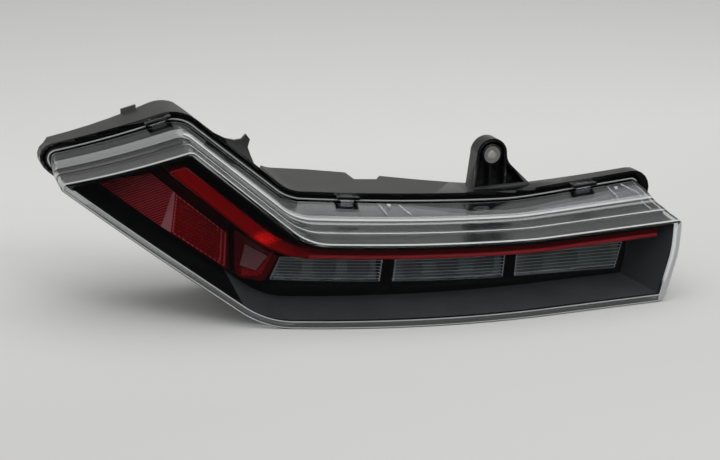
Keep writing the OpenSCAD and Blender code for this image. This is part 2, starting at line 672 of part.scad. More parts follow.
// Block that follows the flange line, between two x, two offsets and two depths
module brick(xa, xb, oa, ob, da, db) {
    p = [for (d = [da, db]) for (q = [[xa, oa], [xb, oa], [xb, ob], [xa, ob]])
        [q[0], sweep_y(q[0]) + d, top_z(flange, q[0]) + q[1]]];
    polyhedron(points = p, faces = [[0, 2, 1], [0, 3, 2], [4, 5, 6], [4, 6, 7],
        [0, 1, 5], [0, 5, 4], [1, 2, 6], [1, 6, 5], [2, 3, 7], [2, 7, 6], [3, 0, 4], [3, 4, 7]]);
}
// Snap tongues: x of the middle and width
TONGUES = [[peak_x - 11.5, 17], [bend_at + 42.5, 16], [bar_right - 57.5, 19]];
tongue_t = 2.2;
module tongue(x, w) {
    lo = lip + fit;
    hi = lo + tongue_t;
    front = skirt_d - 7;
    brick(x - w / 2, x - w / 2 + 3, lo, hi, front, groove_front + 0.5);
    brick(x + w / 2 - 3, x + w / 2, lo, hi, front, groove_front + 0.5);
    brick(x - w / 2, x + w / 2, lo, hi, front - 0.01, front + 2.2);
    brick(x - w / 2, x + w / 2, lo, groove_out + rim_t - 0.3, groove_front - 1, groove_front + 1.5);
}

// Rear studs as x, z
STUDS = [[40, 40], [bar_right - 32.5, 44]];
stud_boss_r = stud_dia / 2 + 5;
boss_stand = 4;
stud_seat = 9;
module mounting_studs() {
    color("silver") for (s = STUDS) translate([s[0], boss_end(s[0], stud_boss_r, boss_stand), s[1]])
    rotate([-90, 0, 0]) {
        translate([0, 0, -stud_seat]) cylinder(d = stud_dia, h = stud_seat + stud_len);
        cylinder(d = stud_dia + 6, h = 1.5);
    }
}
pin_x = -172;
pin_z = tip_z + 10;
pin_r = 4;
pin_len = 14;
// Low boss under the locating pin and under the breather nozzle
low_boss_r = 7;
low_stand = 1;

// Harness socket on a flat pad of the rear wall
pad_w = 50;
pad_h = 34;
pad_t = 3;
sock_z = 38;
sock_x = post_xz[1][0] + post_boss_r + 1.3 + pad_w / 2;
sock_w = 26;
sock_h = 12;
pad_y = max(rear_y(sock_x - pad_w / 2), rear_y(sock_x + pad_w / 2)) + pad_t;
module pad() {
    in_y = min(rear_y(sock_x - pad_w / 2), rear_y(sock_x + pad_w / 2)) - wall;
    translate([sock_x - pad_w / 2, in_y, sock_z - pad_h / 2]) cube([pad_w, pad_y - in_y, pad_h]);
}
module socket_body(off) {
    cube([sock_w + 2 * off, 60, sock_h + 2 * off], center = true);
}
shroud_len = 15;
PIN_ROWS = [-2.5, 2.5];
PIN_COLS = [-7.5, -2.5, 2.5, 7.5];
module harness_socket() {
    color("#303030") translate([sock_x, pad_y, sock_z]) difference() {
        union() {
            translate([-sock_w / 2, -8, -sock_h / 2]) cube([sock_w, 8 + shroud_len, sock_h]);
            translate([-sock_w / 2 - 3, 0, -sock_h / 2 - 3]) cube([sock_w + 6, 2, sock_h + 6]);
            translate([-4, 2, sock_h / 2]) cube([8, shroud_len - 2, 1.6]);
        }
        translate([-sock_w / 2 + 1.6, 2.5, -sock_h / 2 + 1.6])
        cube([sock_w - 3.2, shroud_len, sock_h - 3.2]);
        for (x = PIN_COLS) for (z = PIN_ROWS) translate([x - 0.6, -10, z - 0.6]) cube([1.2, 14, 1.2]);
    }
}
module socket_pins() {
    color("gold") translate([sock_x, pad_y, sock_z])
    for (x = PIN_COLS) for (z = PIN_ROWS) translate([x - 0.5, -11, z - 0.5]) cube([1, 19, 1]);
}
module body_gasket() {
    color("#282828") translate([sock_x, pad_y, sock_z]) difference() {
        translate([-pad_w / 2 + 1, 0, -pad_h / 2 + 1]) cube([pad_w - 2, 5, pad_h - 2]);
        translate([-sock_w / 2 - 5, -1, -sock_h / 2 - 4.5]) cube([sock_w + 10, 8, sock_h + 9]);
    }
}

// Breather: a nozzle on the rear wall under a soft cap
vent_x = (STUDS[0][0] + post_xz[1][0]) / 2;
vent_z = 30;
vent_r = 4;
vent_len = 8;
vent_y = boss_end(vent_x, low_boss_r, low_stand);
module vent_cap() {
    color("black") translate([vent_x, vent_y + fit, vent_z]) rotate([-90, 0, 0]) difference() {
        union() {
            cylinder(r = vent_r + 2, h = vent_len);
            translate([0, 0, 3]) cylinder(r = vent_r + 5, h = vent_len - 1.5);
        }
        translate([0, 0, -1]) cylinder(r = vent_r + 0.1, h = vent_len + 1.2);
        translate([0, 0, -0.01]) cylinder(r = vent_r + 0.6, h = 0.8);
    }
}

module outer_lens() {
    color("lightgray", 0.4) union() {
        lens_shell();
        for (t = TONGUES) brick(t[0] - t[1] / 2 + 3.4, t[0] + t[1] / 2 - 3.4, -0.8, lip + fit + tongue_t,
            skirt_d - 4, skirt_d + 0.6);
    }
}

module housing() {
    color("dimgray") difference() {
        union() {
            tub();
            ear();
            for (t = TONGUES) tongue(t[0], t[1]);
            for (i = [0:2]) for (u = screw_u(i)) board_boss(win_a(i), win_b(i), u, screw_z);
            board_boss(stop_a, stop_b, 0, screw_z);
            for (p = post_xz) post_boss(p);
            for (s = STUDS) rear_boss(s[0], s[1], stud_boss_r, boss_stand);
            rear_boss(pin_x, pin_z, low_boss_r, low_stand);
            translate([pin_x, boss_end(pin_x, low_boss_r, low_stand) - 1, pin_z]) rotate([-90, 0, 0])
            cylinder(r = pin_r, h = pin_len + 1);
            pad();
            rear_boss(vent_x, vent_z, low_boss_r, low_stand);
            translate([vent_x, vent_y - 1, vent_z]) rotate([-90, 0, 0])
            cylinder(r = vent_r, h = vent_len + 1);
            diagonal_web();
            brick(tab_x - tab_w / 2, tab_x + tab_w / 2, groove_out, groove_out + rim_t + 4,
                shelf_d(tab_x) - 3, shelf_d(tab_x));
            for (x = GUSSETS) gusset(x);
            for (x = BACK_RIBS) back_rib(x);
        }
        translate([ear_x, ear_y - 5, ear_z]) rotate([-90, 0, 0]) cylinder(r = bush_r + 0.05, h = 30);
        for (s = STUDS) translate([s[0], boss_end(s[0], stud_boss_r, boss_stand) - stud_seat, s[1]])
        rotate([-90, 0, 0]) cylinder(d = stud_dia + 0.1, h = 30);
        translate([sock_x, pad_y, sock_z]) socket_body(fit);
        translate([vent_x, vent_y - 30, vent_z]) rotate([-90, 0, 0]) cylinder(r = vent_r - 1.5, h = 60);
        for (p = post_xz) translate([p[0], sweep_y(p[0]) + post_end - 1, p[1]]) rotate([-90, 0, 0])
        cylinder(r = screw_r + 0.2, h = 90);
        shelf_notch();
    }
}
// Web that stands on the rim along the diagonal and ends in a hooked tip
web_l = peak_x + 26;
web_r = bend_at - 18.5;
tip_at = bend_at - 24.5;
tip_up = 18;
module diagonal_web() {
    d = groove_back;
    y0 = sweep_y(tip_at) + d - 1;
    fin([[web_l, rim_z(web_l) - 2.5], [web_r, rim_z(web_r) - 2.5], [web_r, rim_z(web_r) - 0.5],
        [web_r - 3, rim_z(web_r) + 7], [tip_at + 1, rim_z(tip_at) + 8],
        [tip_at + 2.8, rim_z(tip_at) + 14], [tip_at, rim_z(tip_at) + tip_up],
        [tip_at - 3.5, rim_z(tip_at) + 14.5], [tip_at - 9, rim_z(tip_at - 9) + 6.5],
        [tip_at - 16, rim_z(tip_at - 16) + 2.5], [web_l, rim_z(web_l)]], y0, 3.2);
}
// Tab on the wing's shelf
tab_x = peak_x - 23.5;
tab_w = 10;
// Notch in the back edge of the shelf, square on its left and slanted on its right
notch_l = bend_at + 63;
notch_w = 17;
notch_d = 103;
module shelf_notch() {
    y0 = sweep_y(notch_l + notch_w / 2) + notch_d;
    translate([0, 0, rim_z(notch_l) - 8]) linear_extrude(14)
    polygon([[notch_l, y0], [notch_l + notch_w, y0 - 3.5], [notch_l + notch_w + 40, y0 + 60],
        [notch_l, y0 + 60]]);
}
// Gussets between the shelf and the tub, by x
rib_w = 2;
GUSSETS = [for (i = [0:4]) bend_at + 10 + i * 25, for (i = [0:2]) tip_x + 26 + i * 19];
function roof_z(x, o) = top_z(pushed(flange, o), x);
module gusset(x) {
    y0 = sweep_y(x) + groove_back + wall - 1;
    y1 = sweep_y(x) + min(shelf_d(x) - 3, back_d(x) - 2);
    top = roof_z(x, groove_out + rim_t / 2);
    translate([x + rib_w / 2, 0, 0]) rotate([0, -90, 0]) linear_extrude(rib_w)
    polygon([[top, y0], [top, y1], [roof_z(x, -back_in - wall / 2), y1],
        [roof_z(x, -groove_in - wall / 2), y0]]);
}
// Upright ribs on the rear wall of the wing and of the bend
BACK_RIBS = [for (i = [0:5]) tip_x + 43.5 + i * 22];
rib_out = 4;
module back_rib(x) {
    z0 = low_z(back, x) + 7;
    translate([x - rib_w / 2, rear_y(x) - wall / 2, z0])
    cube([rib_w, wall / 2 + rib_out, min(top_z(back, x), top_z(back, x + rib_w)) - 7 - z0]);
}
board_boss_r = 3.6;
// Screw boss from the rear wall to the back of a board
module board_boss(xa, xb, u, z) {
    v = board_y + board_t + 0.2;
    reach = chord_reach(xa, xb, mod_d, u);
    on_chord(xa, xb, mod_d) translate([u, v, z]) rotate([-90, 0, 0]) difference() {
        cylinder(r = board_boss_r, h = reach - v + 1.6);
        translate([0, 0, -1]) cylinder(r = screw_r, h = 13);
    }
}
module post_boss(p) {
    y0 = sweep_y(p[0]) + post_end + 0.2;
    end = boss_end(p[0], post_boss_r, post_stand);
    translate([p[0], y0, p[1]]) rotate([-90, 0, 0]) cylinder(r = post_boss_r, h = end - y0);
}
module bezel_screws() {
    color("gainsboro") for (p = post_xz) translate([p[0], boss_end(p[0], post_boss_r, post_stand), p[1]])
    rotate([0, 0, 180]) self_tapper(boss_end(p[0], post_boss_r, post_stand) - sweep_y(p[0]) - post_end + 7);
}

housing();
outer_lens();
lens_seal();
bezel();
light_blade();
reflex_reflector();
reflex_carrier();
stop_lens();
signal_pane(0);  // signal_pane_left
signal_pane(1);  // signal_pane_middle
signal_pane(2);  // signal_pane_right
reflector_cup(0);  // reflector_left
reflector_cup(1);  // reflector_middle
reflector_cup(2);  // reflector_right
stop_reflector();
board(0);  // board_left
board(1);  // board_middle
board(2);  // board_right
stop_board();
light_sources();
board_screws();
bezel_screws();
mounting_bush();
mounting_studs();
harness_socket();
socket_pins();
body_gasket();
vent_cap();
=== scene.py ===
"""Looks for a wrap-around tail light cluster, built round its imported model.

Lengths are in millimetres and become metres only when a mesh is made. X runs along the lamp,
Y into the car body and Z up. The lens faces -Y and sweeps back towards the wing on the left.
"""

import math

import bpy
import bmesh
import numpy as np
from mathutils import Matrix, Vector


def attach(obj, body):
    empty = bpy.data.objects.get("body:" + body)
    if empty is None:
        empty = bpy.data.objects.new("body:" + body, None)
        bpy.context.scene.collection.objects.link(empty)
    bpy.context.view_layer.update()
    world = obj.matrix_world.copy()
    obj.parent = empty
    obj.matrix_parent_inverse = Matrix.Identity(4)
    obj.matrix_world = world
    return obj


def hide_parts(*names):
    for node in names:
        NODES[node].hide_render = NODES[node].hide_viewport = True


MM = 0.001

# Plan sweep of the face
FRONT_Y = -104.0
BEND_X, BEND_R = 112.0, 460.0
WING_X, WING_R = -158.0, 230.0

# Corners of the lens face as x, z and radius, counter-clockwise from the wing's left tip
TIP, FOOT, RIGHT_FOOT, RIGHT_MID, TOP_RIGHT, TOP_MID, BEND, PEAK = range(8)
FACE = np.array([
    [-226.5, 98.0, 4.0],
    [-94.0, 0.0, 60.0],
    [212.0, 0.0, 7.0],
    [223.0, 38.4, 80.0],
    [224.5, 64.0, 3.5],
    [105.0, 61.5, 400.0],
    [-62.0, 65.5, 40.0],
    [-137.5, 132.5, 6.0],
])
# How far each corner moves from the face to the flange, and its radius there
FLANGE_MOVE = np.array([
    [-2.5, 9.3], [4.0, 5.6], [-7.0, 5.6], [-10.0, 7.0],
    [-9.5, 19.0], [7.0, 15.0], [1.0, 19.0], [4.0, 13.8],
])
FLANGE_RADIUS = np.array([8.0, 58.0, 8.0, 80.0, 5.0, 300.0, 30.0, 18.0])
FLANGE = np.column_stack([FACE[:, :2] + FLANGE_MOVE, FLANGE_RADIUS])

# Clear lens: wall, depth of the stepped skirt, foot and the lip above the groove with its step
LENS_WALL = 2.8
SKIRT_D = 57.0
FOOT_LEN = 6.0
LIP = 1.8
LIP_LINE = 0.8
# Rounded front edge and its rows, the rim inside it, and the painted highlight line on the rim's
# inner side
FACE_EDGE = 1.6
BEVEL_ROWS = 5
RIM_W = 6.3
RIM_LINE = 0.8
# Skirt profile: share of the depth, and growth from the face to the flange
SKIRT = np.array([
    [0.03, 0.0], [0.33, 0.13], [0.36, 0.22], [0.6, 0.33], [0.67, 0.62], [0.94, 0.97], [1.0, 1.0],
])

# Snap tongues along the flange, as x and width, the width of each leg with its clearance, and
# how far their outer face stands over the lip
TONGUES = [(-149.0, 17.0), (-19.5, 16.0), (167.0, 19.0)]
TONGUE_LEG, TONGUE_OUT = 3.4, 2.5
# Lugs in the tongues' windows: base over the flange, and reach before and behind the skirt's end
LUG_BASE, LUG_FRONT, LUG_BACK = 0.1, 4.0, 0.6
# Lines beside two tongues, as points of x and depth, and the middle of the dot beside each
PAD_LINES = [
    [(2.7, 52.0), (4.8, 40.0)],
    [(17.2, 50.5), (22.6, 39.8)],
    [(186.7, 51.2), (188.9, 38.4)],
    [(198.4, 52.0), (207.7, 39.0), (208.7, 21.6)],
]
PAD_DOTS = [(9.8, 50.4), (192.6, 48.7)]
LINE_W, DOT_W, DOT_HALF = 0.6, 2.6, 1.2
PAD_RISE, PAD_SUNK = 0.5, 0.5

# Points round each corner, and along each edge, so that both chains hold as many
ROUND_STEPS = 12
EDGE_STEPS = [40, 92, 6, 6, 38, 50, 26, 30]

# Signal windows between the stop lamp and the end wall
WINDOW_LEFT, WINDOW_RIGHT = -71.0, 195.5
WINDOW_TOP, WINDOW_FALL = 43.5, 5.5
WINDOW_H, WINDOW_GROW = 18.0, 3.0
WINDOW_GAP = 9.0
WINDOW_SHARE = [0.295, 0.343, 0.362]
WINDOW_LEAN = [[7.5, 2.5], [2.0, 2.0], [1.5, 6.0]]
PANE_D, PANE_T = 41.0, 4.0
FLUTES, FLUTE_RISE = 8, 1.2
SIDES = ["left", "middle", "right"]

# Light blade: how far its inner side lies in from the wing's upper edge, and its front's depth
BLADE_IN, BLADE_D = 12.0, 10.0
# Middle of the blade's brightest spot, a painted glow, as x and z, the spot's half axes, and the
# share of them that is evenly bright
GLOW_X, GLOW_Z = -89.0, 67.5
GLOW_HALF_X, GLOW_HALF_Z = 12.0, 7.0
GLOW_CORE = 0.2

# Reflex reflector in the wing: its right end, how far it lies in from the face's upper and lower
# edge, and the depth of its back
REFLEX_RIGHT = -111.0
REFLEX_UP, REFLEX_LOW = 32.0, 20.0
REFLEX_BACK = 32.8
# Its three-sided ridge: x of the upper and the lower corner, the width at each, and the depth of
# the lower right corner
RIDGE_TOP_X, RIDGE_LOW_X = -146.5, -155.5
RIDGE_TOP_W, RIDGE_LOW_W, RIDGE_LOW_D = 1.6, 6.5, 21.7
# Slanted ribs of its left facet, and their crests in painted highlight: the relief under which a
# rib is crest, the last column without crests, and the width of the border painted like them
RIB_PITCH, RIB_DEPTH, RIB_SLOPE = 1.7, 0.42, math.radians(31)
CREST_RELIEF, CREST_FROM, CREST_BORDER = 0.16, 6, 2
# Three-sided prisms of its right facet
PRISM_PITCH, PRISM_DEPTH = 2.6, 0.7
# Growth of a relief from the border of its patch: full at a twelfth of the width
RELIEF_GROWTH = 12
# Columns and rows of cells of the three facets
RIB_CELLS, PRISM_CELLS, RIDGE_CELLS = (170, 180), (150, 150), (30, 40)
# Dashed lines of painted reflection on the prisms: width and pitch in cells, how far in the outer
# and the inner one lie, and the last column that the inner one leaves out
BEAD_W, BEAD_PITCH = 4, 12
BEAD_OUTER, BEAD_INNER = 3, 14
BEAD_FROM = 120

# Small faces on the blade's bend and on the stop lens, in painted glow and, for the facet, painted
# reflection: corners as x and z, and the depths of the front and the back
BEND_FACE = [[-99.0, 67.6], [-88.0, 62.4], [-76.5, 66.2], [-95.5, 73.4]]
BEND_FRONT, BEND_BACK = 9.4, 10.2
STOP_LOW_FACE = [[-99.6, 30.9], [-87.6, 31.0], [-90.4, 35.0], [-99.0, 37.2]]
STOP_SIDE_FACE = [[-90.0, 34.6], [-86.6, 31.6], [-77.6, 50.0], [-81.8, 46.9]]
STOP_FRONT, STOP_BACK = 33.5, 34.2
FACET_FACE = [[-101.2, 39.6], [-90.4, 35.6], [-82.2, 47.3], [-97.3, 56.0]]
FACET_FRONT, FACET_BACK = 31.3, 31.5
SMALL_CELLS, FACET_CELLS = (60, 30), (20, 20)

# One refractive index serves all these plastics
PLASTIC_IOR = 1.49
LENS_TINT, PANE_TINT = "#f4f7f8", "#dfe3e4"
# Sockets of a colour Mix node: the three inputs and the output
MIX_SHARE, MIX_A, MIX_B, MIX_OUT = 0, 6, 7, 2

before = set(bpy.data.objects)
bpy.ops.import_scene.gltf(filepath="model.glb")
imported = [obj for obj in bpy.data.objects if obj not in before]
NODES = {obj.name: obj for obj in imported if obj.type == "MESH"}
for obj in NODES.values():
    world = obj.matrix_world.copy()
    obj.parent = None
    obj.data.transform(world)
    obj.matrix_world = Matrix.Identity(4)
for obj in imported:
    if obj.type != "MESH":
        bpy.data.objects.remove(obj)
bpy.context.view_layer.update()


def sweep(x):
    """Y of the face at one x: a parabola behind the bend, and a second one behind the wing."""
    bar = np.maximum(0.0, BEND_X - x) ** 2 / (2 * BEND_R)
    wing = np.maximum(0.0, WING_X - x) ** 2 / (2 * WING_R)
    return FRONT_Y + bar + wing


def edge_normals(corners):
    """Outward normals of the edges before and after each corner."""
    run = np.roll(corners[:, :2], -1, axis=0) - corners[:, :2]
    run /= np.linalg.norm(run, axis=1)[:, None]
    after = np.column_stack([run[:, 1], -run[:, 0]])
    return np.roll(after, 1, axis=0), after


def mitre(before, after, shift_before, shift_after):
    """Move of each corner to where its two shifted edge lines cross, or their mean where the
    edges are nearly in line."""
    c = np.sum(before * after, axis=1)
    straight = ((shift_before + shift_after) / 2 / (1 + c))[:, None] * (before + after)
    sine = np.maximum(1e-6, 1 - c * c)[:, None]
    crossing = ((shift_before - c * shift_after)[:, None] * before
                + (shift_after - c * shift_before)[:, None] * after) / sine
    return np.where((c > 0.995)[:, None], straight, crossing)


def pushed(corners, shift):
    """Corner table with each edge moved outward by its shift; a radius grows by the mean shift
    on an outer corner and shrinks by it on an inner one."""
    shift_after = np.broadcast_to(np.asarray(shift, float), (len(corners),))
    shift_before = np.roll(shift_after, 1)
    before, after = edge_normals(corners)
    turn = before[:, 0] * after[:, 1] - before[:, 1] * after[:, 0]
    radius = corners[:, 2] + np.sign(turn) * (shift_before + shift_after) / 2
    moved = corners[:, :2] + mitre(before, after, shift_before, shift_after)
    return np.column_stack([moved, np.maximum(0.6, radius)])


def arc(corner, before, after, steps):
    """Points of the arc that is tangent to both edges of one corner: start plus the run before it
    times the sine of the angle turned, plus the inward normal times one less its cosine."""
    run = np.array([-before[1], before[0]])
    side = math.copysign(1.0, before[0] * after[1] - before[1] * after[0])
    turn = math.acos(min(1.0, float(before @ after)))
    start = corner[:2] - run * corner[2] * math.tan(turn / 2)
    angle = np.linspace(0.0, turn, steps + 1)[:, None]
    inward = side * np.array([-run[1], run[0]])
    return start + corner[2] * (run * np.sin(angle) + inward * (1 - np.cos(angle)))


def outline(corners, round_steps=ROUND_STEPS, edge_steps=None):
    """Closed line through a corner table: the arc of each corner, then even steps to the next."""
    count = len(corners)
    edge_steps = edge_steps or EDGE_STEPS
    before, after = edge_normals(corners)
    arcs = [arc(corners[i], before[i], after[i], round_steps) for i in range(count)]
    parts = []
    for i in range(count):
        share = np.linspace(0.0, 1.0, edge_steps[i] + 1)[1:-1, None]
        straight = arcs[i][-1] * (1 - share) + arcs[(i + 1) % count][0] * share
        parts += [arcs[i], straight]
    return np.vstack(parts)


def lift(line, depth):
    """A line of x and z placed at a depth behind the swept face."""
    return np.column_stack([line[:, 0], sweep(line[:, 0]) + depth, line[:, 1]])


def new_object(name, points, faces, material, body="root", crease=35.0, which=None):
    """A mesh of points in millimetres, smooth but for edges sharper than the crease angle. Where
    there are several materials, which gives each face the number of its own."""
    mesh = bpy.data.meshes.new(name)
    mesh.from_pydata((np.asarray(points) * MM).tolist(), [], faces)
    if which is not None:
        mesh.polygons.foreach_set("material_index", which)
    mesh.validate()
    piece = bpy.data.objects.new(name, mesh)
    bpy.context.scene.collection.objects.link(piece)
    finish_mesh(piece, material, crease)
    if body:
        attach(piece, body)
    return piece


def finish_mesh(piece, material, crease):
    """Outward normals, smooth shading up to the crease angle, and one material or a tuple."""
    shape = bmesh.new()
    shape.from_mesh(piece.data)
    bmesh.ops.remove_doubles(shape, verts=shape.verts, dist=1e-6)
    bmesh.ops.recalc_face_normals(shape, faces=shape.faces)
    shape.to_mesh(piece.data)
    shape.free()
    piece.data.shade_smooth()
    piece.data.set_sharp_from_angle(angle=math.radians(crease))
    chosen = np.zeros(len(piece.data.polygons), np.int32)
    piece.data.polygons.foreach_get("material_index", chosen)
    piece.data.materials.clear()
    for one in material if isinstance(material, tuple) else (material,):
        piece.data.materials.append(one)
    if isinstance(material, tuple):
        piece.data.polygons.foreach_set("material_index", chosen)


def grid_faces(index, wrap_rows=False, wrap_columns=False):
    """Quads over a grid of vertex numbers, joined to itself along the wrapped directions."""
    if wrap_rows:
        index = np.vstack([index, index[:1]])
    if wrap_columns:
        index = np.column_stack([index, index[:, :1]])
    quads = np.stack([index[:-1, :-1], index[:-1, 1:], index[1:, 1:], index[1:, :-1]], axis=-1)
    return quads.reshape(-1, 4).tolist()


def cap(ring, first, next_free, left, right, depth, rows):
    """Swept face across a ring: straight lines in x and z between its lower and its upper chain,
    with y from the sweep, as new points and faces."""
    count = len(ring)
    span = (right - left) % count
    lower = (left + np.arange(span + 1)) % count
    upper = (left - np.arange(count - span + 1)) % count
    if len(lower) != len(upper):
        raise ValueError("the two chains of a cap differ in length")
    share = np.linspace(0.0, 1.0, rows + 1)[1:-1, None, None]
    low_line = ring[lower[1:-1]][None, :, [0, 2]]
    high_line = ring[upper[1:-1]][None, :, [0, 2]]
    flat = (low_line * (1 - share) + high_line * share).reshape(-1, 2)
    points = np.column_stack([flat[:, 0], sweep(flat[:, 0]) + depth, flat[:, 1]])
    middle = next_free + np.arange(len(points)).reshape(rows - 1, -1)
    index = np.vstack([first + lower[1:-1], middle, first + upper[1:-1]])
    faces = grid_faces(index)
    for end, column in ((lower[0], 0), (lower[-1], -1)):
        side = index[:, column]
        fans = np.column_stack([np.full(len(side) - 1, first + end), side[:-1], side[1:]])
        faces += fans.tolist()
    return points, faces


def capped_loft(name, rings, material, ends, front, back, chosen, crease, rows):
    """A skin through rings of equal count, closed by a swept face over its first and last ring.
    The chosen array gives each face of the skin its material."""
    count = len(rings[0])
    points = [np.vstack(rings)]
    index = np.arange(len(rings) * count).reshape(len(rings), count)
    faces = grid_faces(index, wrap_columns=True)
    used = len(rings) * count
    for ring, first, depth in ((rings[0], 0, front), (rings[-1], (len(rings) - 1) * count, back)):
        extra, more = cap(ring, first, used, ends[0], ends[1], depth, rows)
        points.append(extra)
        faces += more
        used += len(extra)
    which = np.zeros(len(faces), np.int32)
    which[:chosen.size] = chosen.ravel()
    return new_object(name, np.vstack(points), faces, material, crease=crease, which=which)


def copy_of_node(name, material, crease=32.0):
    """A merged copy of a model node with smooth shading up to the crease angle, in which large
    faces steer the shading, so that thin triangles leave no streaks. A node with several
    materials has a function in BY_PLACE that numbers its faces by their middle, their depth
    behind the sweep and their normal."""
    mesh = NODES[name].data.copy()
    piece = bpy.data.objects.new(name + "_smooth", mesh)
    bpy.context.scene.collection.objects.link(piece)
    finish_mesh(piece, material, crease)
    if name in BY_PLACE:
        middle = np.zeros(3 * len(mesh.polygons))
        normal = np.zeros(3 * len(mesh.polygons))
        mesh.polygons.foreach_get("center", middle)
        mesh.polygons.foreach_get("normal", normal)
        middle = middle.reshape(-1, 3) / MM
        depth = middle[:, 1] - sweep(middle[:, 0])
        number = BY_PLACE[name](middle, depth, normal.reshape(-1, 3)).astype(np.int32)
        mesh.polygons.foreach_set("material_index", number)
    even = piece.modifiers.new("even_shading", "WEIGHTED_NORMAL")
    even.mode = "FACE_AREA"
    even.weight = 80
    even.keep_sharp = True
    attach(piece, "root")
    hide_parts(name)


def srgb(code):
    """Linear colour of a #rrggbb code: each channel through the sRGB curve."""
    value = np.array([int(code[i:i + 2], 16) / 255 for i in (1, 3, 5)])
    linear = np.where(value <= 0.04045, value / 12.92, ((value + 0.055) / 1.055) ** 2.4)
    return (*linear.tolist(), 1.0)


def add_node(tree, kind, inputs=None, **settings):
    """Adds one node with its settings; an input is a value, or the socket that feeds it."""
    node = tree.nodes.new(kind)
    for key, value in settings.items():
        setattr(node, key, value)
    for key, value in (inputs or {}).items():
        if isinstance(value, bpy.types.NodeSocket):
            tree.links.new(value, node.inputs[key])
        else:
            node.inputs[key].default_value = value
    return node


def new_material(name):
    """An empty material with its output node."""
    material = bpy.data.materials.new(name)
    material.use_nodes = True
    tree = material.node_tree
    tree.nodes.clear()
    return material, tree, add_node(tree, "ShaderNodeOutputMaterial")


def grain(tree, size_mm, strength, distance_mm):
    """Normal of a fine bump whose grains are about size_mm across."""
    place = add_node(tree, "ShaderNodeTexCoord").outputs["Object"]
    noise = add_node(tree, "ShaderNodeTexNoise", {
        "Vector": place, "Scale": 1 / (size_mm * MM), "Detail": 2.0})
    bump = add_node(tree, "ShaderNodeBump", {
        "Height": noise.outputs["Fac"], "Strength": strength, "Distance": distance_mm * MM})
    return bump.outputs["Normal"]


def mottle(tree, low, high, size_mm, sharp=0.2):
    """Colour that drifts between two hex colours over patches about size_mm across."""
    place = add_node(tree, "ShaderNodeTexCoord").outputs["Object"]
    noise = add_node(tree, "ShaderNodeTexNoise", {
        "Vector": place, "Scale": 1 / (size_mm * MM), "Detail": 3.0})
    ramp = add_node(tree, "ShaderNodeValToRGB", {"Fac": noise.outputs["Fac"]})
    ramp.color_ramp.elements[0].position = 0.5 - sharp
    ramp.color_ramp.elements[0].color = srgb(low)
    ramp.color_ramp.elements[1].position = 0.5 + sharp
    ramp.color_ramp.elements[1].color = srgb(high)
    return ramp.outputs["Color"]


def moulded(name, low, high, roughness, grain_mm=0.5, relief=0.12, patch_mm=30.0, shine=0.5):
    """Injection moulded plastic: a slow drift of tone, and the tool's fine grain as bump."""
    material, tree, out = new_material(name)
    shader = add_node(tree, "ShaderNodeBsdfPrincipled", {
        "Base Color": mottle(tree, low, high, patch_mm),
        "Roughness": roughness, "IOR": PLASTIC_IOR, "Specular IOR Level": shine,
        "Normal": grain(tree, grain_mm, relief, distance_mm=0.05)})
    tree.links.new(shader.outputs["BSDF"], out.inputs["Surface"])
    return material


def painted_highlight_plastic(name, tint, white, clear, roughness):
    """Clear acrylic, part of it a soft white: a painted highlight where light gathers in a rounded
    edge. It bends what lies behind it, and lets the lamps' light through, so that the pieces inside
    are lit as through the real lens."""
    material, tree, out = new_material(name)
    shader = add_node(tree, "ShaderNodeBsdfPrincipled", {
        "Base Color": srgb(white), "Roughness": roughness, "IOR": PLASTIC_IOR,
        "Transmission Weight": clear})
    through = add_node(tree, "ShaderNodeBsdfTransparent", {"Color": srgb(tint)})
    path = add_node(tree, "ShaderNodeLightPath")
    mix = add_node(tree, "ShaderNodeMixShader", {
        "Fac": path.outputs["Is Shadow Ray"], 1: shader.outputs["BSDF"],
        2: through.outputs["BSDF"]})
    tree.links.new(mix.outputs["Shader"], out.inputs["Surface"])
    return material


def clear_plastic(name, tint, roughness=0.0):
    """Wholly clear acrylic."""
    return painted_highlight_plastic(name, tint, tint, 1.0, roughness)


def red_plastic(name, low, high, roughness, clear=0.0, shine=0.12, patch_mm=18.0):
    """Red signal acrylic: deep colour under a smooth surface."""
    material, tree, out = new_material(name)
    shader = add_node(tree, "ShaderNodeBsdfPrincipled", {
        "Base Color": mottle(tree, low, high, patch_mm), "Roughness": roughness,
        "IOR": PLASTIC_IOR, "Transmission Weight": clear, "Specular IOR Level": shine})
    tree.links.new(shader.outputs["BSDF"], out.inputs["Surface"])
    return material


